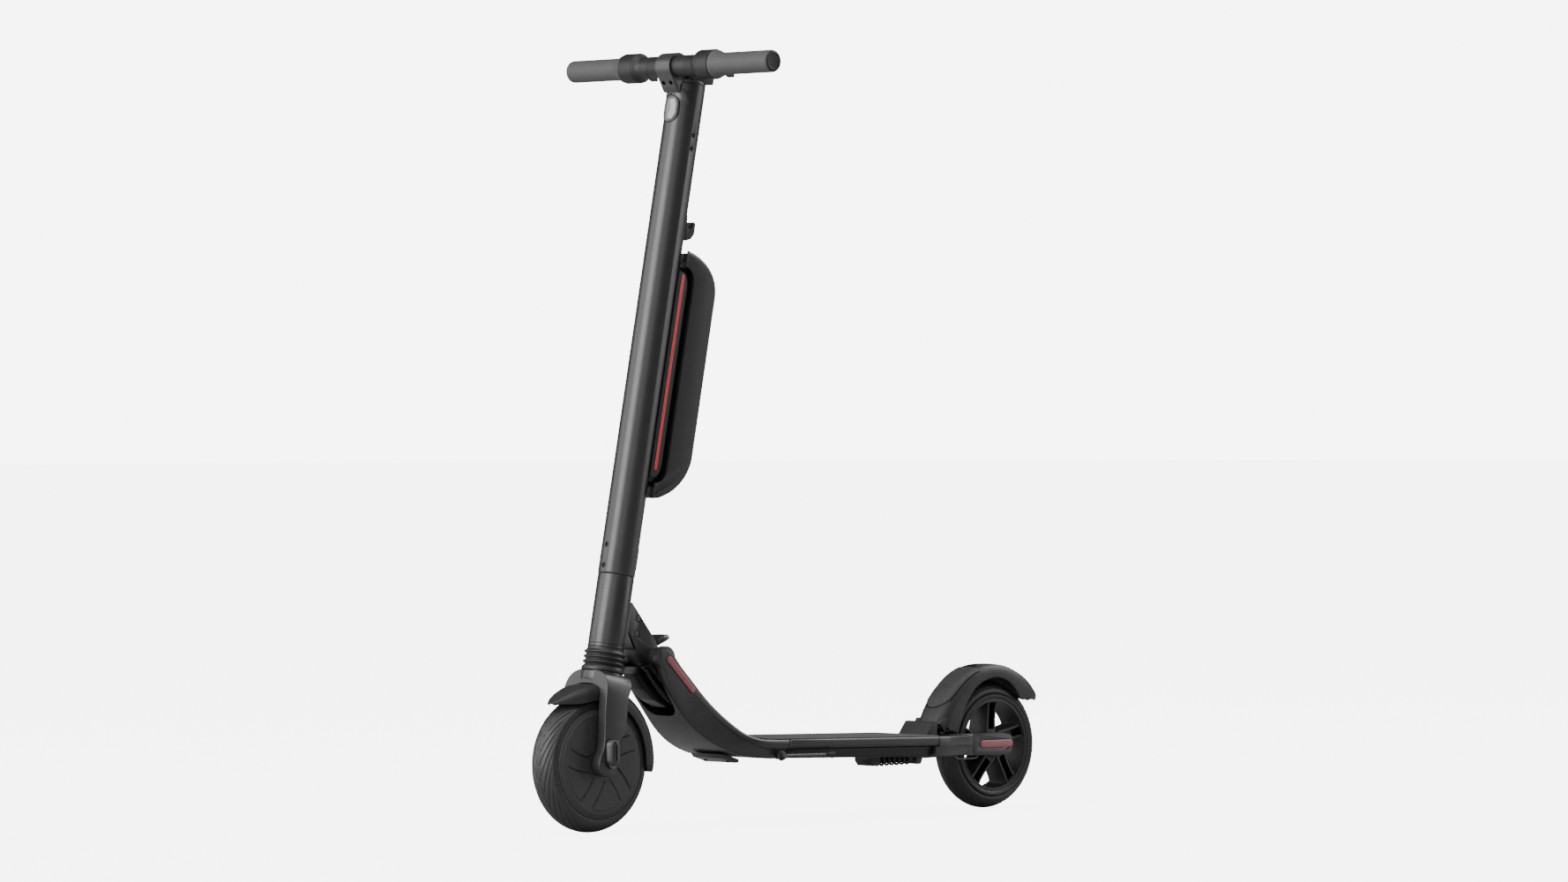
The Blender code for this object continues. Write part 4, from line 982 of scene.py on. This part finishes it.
# ================================================================ fork and front wheel
FORK_STATIONS = [  # centre y, s, half thickness, rear d, front d, path direction from the axle upwards
    (39.65, -18.2, 7.6, -2, 12, 0), (39.65, -16, 8.15, -8, 16.5, 0), (39.65, -11, 8.15, -11.4, 20.5, 0),
    (39.65, -4, 8.15, -12.6, 22.6, 0), (39.65, 4, 8.15, -12.8, 22.6, 0), (39.65, 10, 8.15, -11.6, 21.2, 0),
    (39.65, 17, 8.15, -8.8, 18.9, 0), (39.65, 25, 8.15, -7.0, 18.2, 0), (39.65, 33, 8.15, -9.5, 18.8, 0),
    (39.65, 44, 8.15, -16.5, 20.4, 0), (39.65, 54, 8.15, -20.6, 22.2, 0), (39.65, 66, 8.15, -18.6, 24.2, 0),
    (39.65, 80, 8.15, -17.4, 26.2, 0), (39.6, 90, 8.15, -16, 27.0, 3), (39.2, 98, 8.3, -16, 27.3, 9),
    (38.0, 105, 8.8, -19, 27.3, 21), (34.8, 112.2, 9.8, -23, 27.0, 40), (29.8, 117.2, 10.8, -26, 26.8, 60),
    (23.5, 120.4, 11.1, -27.5, 27.0, 74), (16, 122.3, 10.8, -28.5, 27.6, 83), (8, 123.0, 10.5, -29, 28.2, 88),
    (0, 123.1, 10.4, -29, 28.4, 90),
]


def make_fork():
    refined = curve(FORK_STATIONS, 4)
    full = refined + [(-y, s, t, a, b, 180 - g) for y, s, t, a, b, g in reversed(refined[:-1])]
    rows = []
    for y, s, t, rear, front, turn in full:
        g = radians(turn)
        out = Vector((cos(g), sin(g)))
        corner = min(1.3, t * 0.6)
        ring = []
        for du, dd, a0 in ((1, 1, 0), (-1, 1, 90), (-1, -1, 180), (1, -1, 270)):
            for k in range(6):
                a = radians(a0 + 90 * k / 5)
                across_path = du * (t - corner) + corner * cos(a)
                deep = (front - corner if dd > 0 else rear + corner) + corner * sin(a)
                ring.append((deep, y + out.x * across_path, s + out.y * across_path))
        rows.append(ring)
    crown = fillet([(13, 120), (31, 120), (31, 131), (29.5, 133.4), (13, 134)], [0, 0, 2, 1, 0], 4)
    # the axle hole is lined with near-black painted shade
    piece("fork_arch", grid(rows), COLUMN, "fork", "paint", "fork", bevel=0.4, angle=50, sharp=40,
          joins=[(turned(crown, 96, ring=True), COLUMN)],
          cuts=[(disc(6.4, -60, 60, 40), FRONT_HUB, "cavity")])
    piece("fork_stanchion", disc(13, 118, 205), COLUMN, "fork", "steel")


def make_axle_caps():
    """Upright covers over the ends of the front axle, with their front edges leaning back."""
    low, high, radius = 107, 127, 10
    for side, tag in TAG.items():
        rows = []
        for inset, y in ((0, 48.0), (0, 50.0), (0.6, 52.5), (1.2, 55), (1.7, 56.6), (2.4, 57.6), (3.4, 58.0),
                         (6, 58.2), (8.5, 58.3)):
            ring, scale = [], 1 - inset / radius
            for x, z in np.array(capsule((0, low), (0, high), radius, 20)):
                middle = min(max(z, low), high)
                lean = -0.32 * max(0, y - 50) * (1 if x > 0 else 0.15)
                ring.append((x * scale + lean * min(1, abs(x) / 4), side * y, middle + (z - middle) * scale))
            rows.append(ring)
        piece("axle_cap_" + tag, grid(rows), AXLE, "fork", "paint", "axle_cover_" + tag, sharp=40)


def make_fork_coil():
    coil = sweep(helix(9.5, 207.5, 112, 7), 1.7, 12)
    piece("fork_coil", coil, COLUMN, "fork", "spring_steel", "fork_spring")


def make_bellows():
    pleats = [(20, 134), (30.9, 134), (31.2, 135.6), (30.8, 138), (29, 140.4), (27.1, 142.2)]
    for k in range(3):
        low, tip = 142.4 + 7.3 * k, 30.8 - 0.25 * k
        pleats += [(26.8, low + 0.3), (28.7, low + 1.8), (tip - 0.15, low + 3.1), (tip, low + 3.65),
                   (tip - 0.15, low + 4.2), (28.7, low + 5.5), (26.8, low + 7.0)]
    pleats += [(26.5, 165.4), (26.4, 167.8), (20, 167.8)]
    boot = piece("bellows_boot", turned(pleats, 128, ring=True), COLUMN, "fork", "bellows_rubber", "bellows",
                 sharp=70)
    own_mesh(boot)


WALL, CROWN = 2.4, 0.6   # of both fenders


def shoulder_radius(outer, edge, half):
    return min(20, half * 0.7, (outer - edge) * 0.7)


def arch_section(outer, edge, half):
    """A fender's cross-section as (radius from the axle, y): its outer skin, then its inner one."""
    shoulder = shoulder_radius(outer, edge, half)
    skins = []
    for shrink in (0, WALL):
        ring = [(edge, half - shrink), (edge + (outer - edge) * 0.15, half - shrink)]
        corner, side = outer - shrink - shoulder, half - shrink - shoulder
        ring += [(corner + shoulder * up, side + shoulder * over) for up, over in quarter(10)]
        ring += [(outer - shrink + CROWN * (1 - t * t), side * t) for t in (0.66, 0.33, 0.0)]
        skins.append(ring + [(r, -y) for r, y in reversed(ring[:-1])])
    skins[0][0] = (edge + 0.2, half)
    return skins[0] + skins[1][::-1]


def fender_shape(stations, middle):
    """A fender round (x, z), from stations of angle, outer radius, edge radius and half width."""
    rows = []
    for angle, outer, edge, half in curve(stations, 6):
        a = radians(angle)
        rows.append([(middle[0] + r * cos(a), y, middle[1] + r * sin(a))
                     for r, y in arch_section(outer, edge, half)])
    return grid(rows)


def make_front_fender():
    stations = [(50, 117, 113, 7), (54, 116, 108, 14), (60, 115.3, 101, 21), (68, 115, 95, 27),
                (78, 115, 93, 30)]
    stations += [(a, 115 - (a - 78) * 0.05, 93 - (a - 78) * 0.08, 30) for a in range(92, 176, 14)]
    stations += [(181, 109.6, 86, 29.8), (184.5, 109.2, 87.5, 29), (187, 108.8, 91, 27),
                 (188.6, 108.4, 95.5, 23.5)]
    piece("front_guard", fender_shape(stations, (0, AXLE_Z)), AXLE, "fork", "plastic_soft", "front_fender",
          bevel=0.7, angle=50)


def tread_lines(count, slope, low, high, sign, depth=0.7, width=1.1, radius=100):
    """Offset for curved grooves that leave the centre band and sweep out to the shoulder on one side."""
    pitch = 2 * pi * radius / count

    def offset(a, r, h):
        y = h * sign
        out = np.clip(y - low, 0, None)
        phase = (a * radius - slope * out * (1 + 0.035 * out)) % pitch
        near = np.minimum(phase, pitch - phase)
        cut = np.exp(-(near / width) ** 2)
        window = 1 / (1 + np.exp(-(y - low) * 2.2)) / (1 + np.exp((y - high) * 1.2))
        return -depth * cut * window
    return offset


def both_sides(half, middle):
    """A tyre's profile from its right edge over the middle to its left."""
    return [(r, -y) for r, y in reversed(half)] + [middle] + half


def make_front_tyre():
    half = [(99.2, 7), (96.8, 13.8), (93.2, 19.3), (89, 23.3), (84.5, 24.2), (82.2, 24.15), (80.3, 23.8)]
    profile = curve(both_sides(half, (100, 0)), 9)
    left, right = (tread_lines(28, -2.0, 3.4, 20.5, side, 1.6, 1.7) for side in (1, -1))

    def offset(a, r, h):
        rings = -1.2 * np.exp(-((np.abs(h) - 3.4) / 0.8) ** 2)
        side = -0.5 * np.exp(-((r - 87.5) / 0.6) ** 2)
        return left(a, r, h) + right(a, r, h) + rings + side

    piece("front_tyre_tread", turned(profile, 720, ring=True, offset=offset), FRONT_HUB, "front_wheel",
          "tyre", "front_tyre", sharp=80)


def disc_pattern(inner, outer, spokes, raised, groove, phase, swirl):
    """Offset for a wheel cover: panels raised between swirling spokes, with grooves along their sides."""
    def offset(a, r, h):
        share = (r - inner) / (outer - inner)
        half_band = 11.0 + 2.0 * share
        angle = a - phase - swirl * (1 - share)
        nearest = np.full_like(r, 1e9)
        for k in range(spokes):
            spoke = 2 * pi * k / spokes
            front = np.cos(angle - spoke) > 0
            nearest = np.where(front, np.minimum(nearest, np.abs(r * np.sin(angle - spoke))), nearest)
        reach = np.clip((r - inner) / 1.2, 0, 1) * np.clip((outer - r) / 1.2, 0, 1)
        panel = np.clip(nearest - half_band, 0, 1) * reach
        line = np.exp(-((nearest - half_band) / 0.8) ** 2)
        line = line * np.clip((r - inner + 3) / 2, 0, 1) * np.clip((outer - 1 - r) / 2, 0, 1)
        return raised * panel - groove * line

    return offset


def spindle(half):
    return spun([(0.02, -half), (6, -half), (6, half), (0.02, half)], [0, 0.6, 0.6, 0], 40)


def make_front_hub():
    pattern = disc_pattern(27, 68, 5, 0.9, 1.7, -radians(11), radians(12))

    def on_face(a, r, h):
        return np.where(np.abs(h) > 28.3, pattern(a, r, h), 0)

    rings = np.arange(71.8, 27, -0.7)
    cover = [(8, 22.3), (80, 22.3), (80, 24.2), (79.4, 25.0), (77.5, 25.9), (75.6, 26.6), (74.6, 27.6),
             (73.6, 28.2), (72.5, 28.4)]
    cover += [(r, 28.5) for r in rings] + [(26, 28.5), (24, 28.5), (18, 28.4), (12, 28.0), (8, 27.5)]
    piece("hub_cover", turned(cover, 480, ring=True, offset=on_face), FRONT_HUB, "front_wheel", "hub_paint",
          "motor_cover", sharp=60)
    shell = [(8, -22), (67, -22), (67, 22), (80, 22), (80, -24.0), (79.4, -24.8), (77.5, -25.5),
             (75.6, -26.4), (74.6, -27.6), (73.6, -28.2), (72.5, -28.4)]
    shell += [(r, -28.5) for r in rings] + [(r, -28.5) for r in (26, 24, 18, 8)]
    piece("hub_shell", turned(shell, 480, ring=True, offset=on_face), FRONT_HUB, "front_wheel", "hub_paint",
          "motor_shell", sharp=60)
    piece("front_spindle", spindle(52), FRONT_HUB, "fork", "steel", "front_axle")


# ================================================================ rear end
FENDER_PIVOT = (-706.5, 124.5)
REAR_REFLECTOR = ((-765, 100.5), (-824, 100))


def make_swingarm():
    arm = fillet([(-703.5, 117), (-703.5, 86), (-735, 84.5), (-800, 83), (-826, 83.5), (-831, 98),
                  (-829, 112.5), (-810, 115.5), (-740, 117.5)], [0, 4, 6, 6, 9, 10, 9, 12, 20])
    yoke = fillet([(-664, 99), (-664, 85), (-704, 84), (-714.5, 86), (-714.5, 117), (-703.5, 117),
                   (-703.5, 99)], [2, 2, 2, 2, 1, 1, 3])
    lug = fillet([(-702.5, 112), (-702.5, 127), (-705, 129.5), (-708.5, 129.5), (-711, 127), (-712.5, 112)],
                 1.5)
    horn = fillet([(-664.5, 92), (-656.5, 90), (-656.5, 73), (-667, 73), (-674, 88)], [0, 1, 3, 3, 0])
    joins, cuts = [], []
    for side in (-1, 1):
        joins.append((prism(arm, *span(side, 30.5, 47)), AXLE))
        joins.append((prism(lug, *span(side, 11, 18)), AXLE))
        # the reflector pocket and the slit behind it are lined with near-black painted shade
        cuts.append((prism(capsule(*REAR_REFLECTOR, 6.4), *span(side, 46.2, 50)), AXLE, "cavity"))
        cuts.append((box((-744.6, -743.6), span(side, 46.2, 50), (80, 120)), AXLE, "cavity"))
    joins.append((prism(horn, -12, 12), AXLE))
    joins.append((disc(2.3, -26.5, 26.5, 24), across(*FENDER_PIVOT)))
    cuts.append((disc(4.4, -60, 60, 32), across(*SWING_PIVOT)))
    cuts.append((disc(6.4, -60, 60, 40), REAR_HUB))
    piece("swing_casting", prism(yoke, -46.5, 46.5), AXLE, "swingarm", "paint", "swingarm",
          joins=joins, cuts=cuts, bevel=1.3, segments=3, angle=42)
    rod = [(-714, 87), (-717, 82), (-724, 79.6), (-744, 79.4), (-758, 80), (-763, 83), (-764, 87)]
    for side, tag in TAG.items():
        path = curve([(x, side * 38, z) for x, z in rod], 5)
        piece("arm_guard_rod_" + tag, sweep(path, 1.7, 14), AXLE, "swingarm", "steel_dark")
    piece("rear_spindle", spindle(46), REAR_HUB, "swingarm", "steel", "rear_axle")
    for side, tag in TAG.items():
        lens = pillow(capsule(*REAR_REFLECTOR, 5.6, 16), side * 46.4, side * 48.6, 0.8, 4, 0.1)
        piece("rear_reflector_lens_" + tag, lens, AXLE, "swingarm", "reflector", "rear_reflector_" + tag)


def make_rear_tyre():
    half = [(96.2, 4), (94.2, 9.6), (90.5, 15.6), (86, 20), (81.5, 21.6), (78.6, 20.5)]
    profile = curve(both_sides(half, (96.7, 0)), 9)
    left, right = (tread_lines(26, -1.4, 7.5, 17, side, 0.8, 1.5, 96.7) for side in (1, -1))

    def offset(a, r, h):
        rings = -0.7 * np.exp(-((np.abs(h) - 6.5) / 0.75) ** 2)
        side = -0.5 * np.exp(-((np.abs(h) - 18.6) / 0.6) ** 2) * (r > 84)
        return rings + side + left(a, r, h) + right(a, r, h)

    piece("rear_tyre_tread", turned(profile, 720, ring=True, offset=offset), REAR_HUB, "rear_wheel", "tyre",
          "rear_tyre", sharp=80)


def spoke_lean(x):
    """How far a spoke stands off its radius, x from the axle."""
    return 5.5 * (66 - x) / 50


def make_rim():
    half = [(78.3, 0), (78.3, 20), (77.6, 22), (76.4, 23.4), (74.6, 23.7), (72.8, 23.2), (71.4, 22),
            (70.2, 21.3), (68.6, 21.6), (67.2, 22.2), (66.2, 21.6), (66.2, 19.8), (67, 17), (67.6, 8),
            (67.8, 0)]
    ring = half + [(r, -y) for r, y in reversed(half[1:-1])]
    hub = fillet([(6.6, -23.3), (17, -23.3), (20, -20), (20, 20), (17, 23.3), (6.6, 23.3)], 1.2, 3)
    joins, cuts, spokes = [(turned(hub, 96, ring=True), REAR_HUB)], [], 5
    for k in range(spokes):
        spin = REAR_HUB @ Matrix.Rotation(2 * pi * k / spokes - pi / 2, 4, "Z")
        rows = []
        for x, wide, deep in ((14, 10.5, 19.5), (22, 10.2, 19.3), (40, 9.2, 18.2), (58, 9.6, 18.4),
                              (66, 11, 19.4), (68.5, 12, 19.8)):
            section = fillet([(-wide, -deep), (wide, -deep), (wide, deep), (-wide, deep)], 1.2, 2)
            rows.append([(x, y + spoke_lean(x), z) for y, z in section])
        joins.append((grid(rows), spin))
        for side in (-1, 1):
            # the channels in the spokes are lined with near-black painted shade
            channel = []
            for x, wide in ((24, 6.2), (30, 6.4), (45, 6.2), (58, 6.8), (64.5, 7.6)):
                section = ((-wide, 26), (wide, 26), (wide * 0.8, 8), (-wide * 0.8, 8))
                channel.append([(x, y + spoke_lean(x), side * z) for y, z in section])
            cuts.append((grid(channel), spin, "cavity"))
    piece("rim_casting", turned(ring, 160, ring=True), REAR_HUB, "rear_wheel", "plastic_soft", "rear_rim",
          joins=joins, cuts=cuts, bevel=0.6, angle=42)


REAR_STATIONS = [  # angle, outer radius, edge radius, half width
    (14, 129, 88, 29.5), (24, 127.5, 89, 30), (36, 125.5, 91.5, 30), (50, 123.8, 96, 30),
    (64, 123, 101, 30), (78, 123, 103, 30), (92, 123, 103, 30), (106, 123.3, 98, 30), (118, 124, 90, 30),
    (128, 124.8, 86, 29), (136, 125.4, 97, 26), (143, 126, 111, 19), (148.4, 125.7, 121.5, 8),
]


def fender_skin(angle, u, lift):
    """A point on the rear fender's outer skin, u along the skin from the middle, lifted off it."""
    table = np.array(REAR_STATIONS)
    outer, edge, half = (np.interp(angle, table[:, 0], table[:, k]) for k in (1, 2, 3))
    shoulder = shoulder_radius(outer, edge, half)
    flat, s = half - shoulder, abs(u)
    turn = min(max(s - flat, 0) / shoulder, pi / 2)
    crown = CROWN * (1 - min(s / flat, 1) ** 2)
    past = max(s - flat - shoulder * pi / 2, 0)
    r = outer - shoulder + (shoulder + lift) * cos(turn) + crown - past
    y = min(s, flat) + (shoulder + lift) * sin(turn)
    a = radians(angle)
    return (REAR_AXLE[0] + r * cos(a), y if u > 0 else -y, REAR_AXLE[1] + r * sin(a))


def fender_patch(name, first, last, wide, lift, material, nose=0.0, steps=60):
    """A thin pad lying on the fender's skin; nose is how many degrees its rounded lower end takes."""
    rows = []
    for angle in np.linspace(first, last, steps):
        t = min(1, (angle - first) / nose) if nose else 1
        e = min(1, (last - angle) / 2.2)
        half = max(1.0, wide * sqrt(1 - (1 - t) ** 2) * (0.86 + 0.14 * sqrt(max(0, 1 - (1 - e) ** 2))))
        row = [fender_skin(angle, half, -0.8), fender_skin(angle, half, lift * 0.5)]
        row += [fender_skin(angle, half * 0.97 * (1 - k / 14), lift) for k in range(29)]
        row += [fender_skin(angle, -half, lift * 0.5), fender_skin(angle, -half, -0.8)]
        rows.append(row)
    piece(name, grid(rows), AXLE, "rear_fender", material, sharp=50)


def make_rear_fender():
    ear = fillet([(-701.5, 121), (-712.5, 121), (-712.5, 128), (-707, 141), (-697.5, 141), (-692.8, 133)],
                 [3, 3, 1, 0, 2, 3])
    # the pivot hole is lined with near-black painted shade
    piece("rear_guard", fender_shape(REAR_STATIONS, REAR_AXLE), AXLE, "rear_fender", "plastic_soft",
          "rear_fender", joins=[(prism(ear, *span(side, 18.6, 28)), AXLE) for side in (-1, 1)],
          cuts=[(disc(2.7, -30, 30, 24), across(*FENDER_PIVOT), "cavity")], bevel=0.8, angle=48)
    # a near-black rim round the step pad and a near-black patch at the notch above it: painted shade
    fender_patch("step_pad_seam_shade", 27.2, 74.2, 27.5, 0.25, "cavity", nose=14)
    fender_patch("step_pad_rubber", 28.2, 73.4, 25.8, 1.1, "step_pad", nose=14)
    fender_patch("hook_catch_shade", 75.2, 80.0, 13, 0.7, "cavity", steps=8)
    pad = arc(REAR_AXLE, 108, range(52, 77, 3)) + arc(REAR_AXLE, 119.4, range(76, 51, -3))
    piece("brake_block", prism(pad, -14, 14), AXLE, "rear_fender", "rubber", "brake_pad", bevel=1.0)


# ================================================================ carried-over nodes
KEPT = {"motor_controller": "controller", "headset_bearing_lower": "steel", "headset_bearing_upper": "steel",
        "steerer_tube": "steel", "main_battery": "cell", "pack_cells": "cell", "motor_stator": "copper"}


def finish_kept():
    for name, material in KEPT.items():
        for slot in NODES[name].material_slots:
            slot.material = MADE[material]


make_camera()
make_materials()
make_studio()
make_frame()
make_shoulders()
make_cover()
make_mat()
make_deck_fittings()
make_neck_fittings()
make_kickstand()
make_head()
make_stem()
make_stem_cap()
make_saddle()
make_headlight()
make_stem_fittings()
make_pack()
make_handlebar()
make_controls()
make_dash()
make_fork()
make_axle_caps()
make_fork_coil()
make_bellows()
make_front_fender()
make_front_tyre()
make_front_hub()
make_swingarm()
make_rear_tyre()
make_rim()
make_rear_fender()
finish_kept()
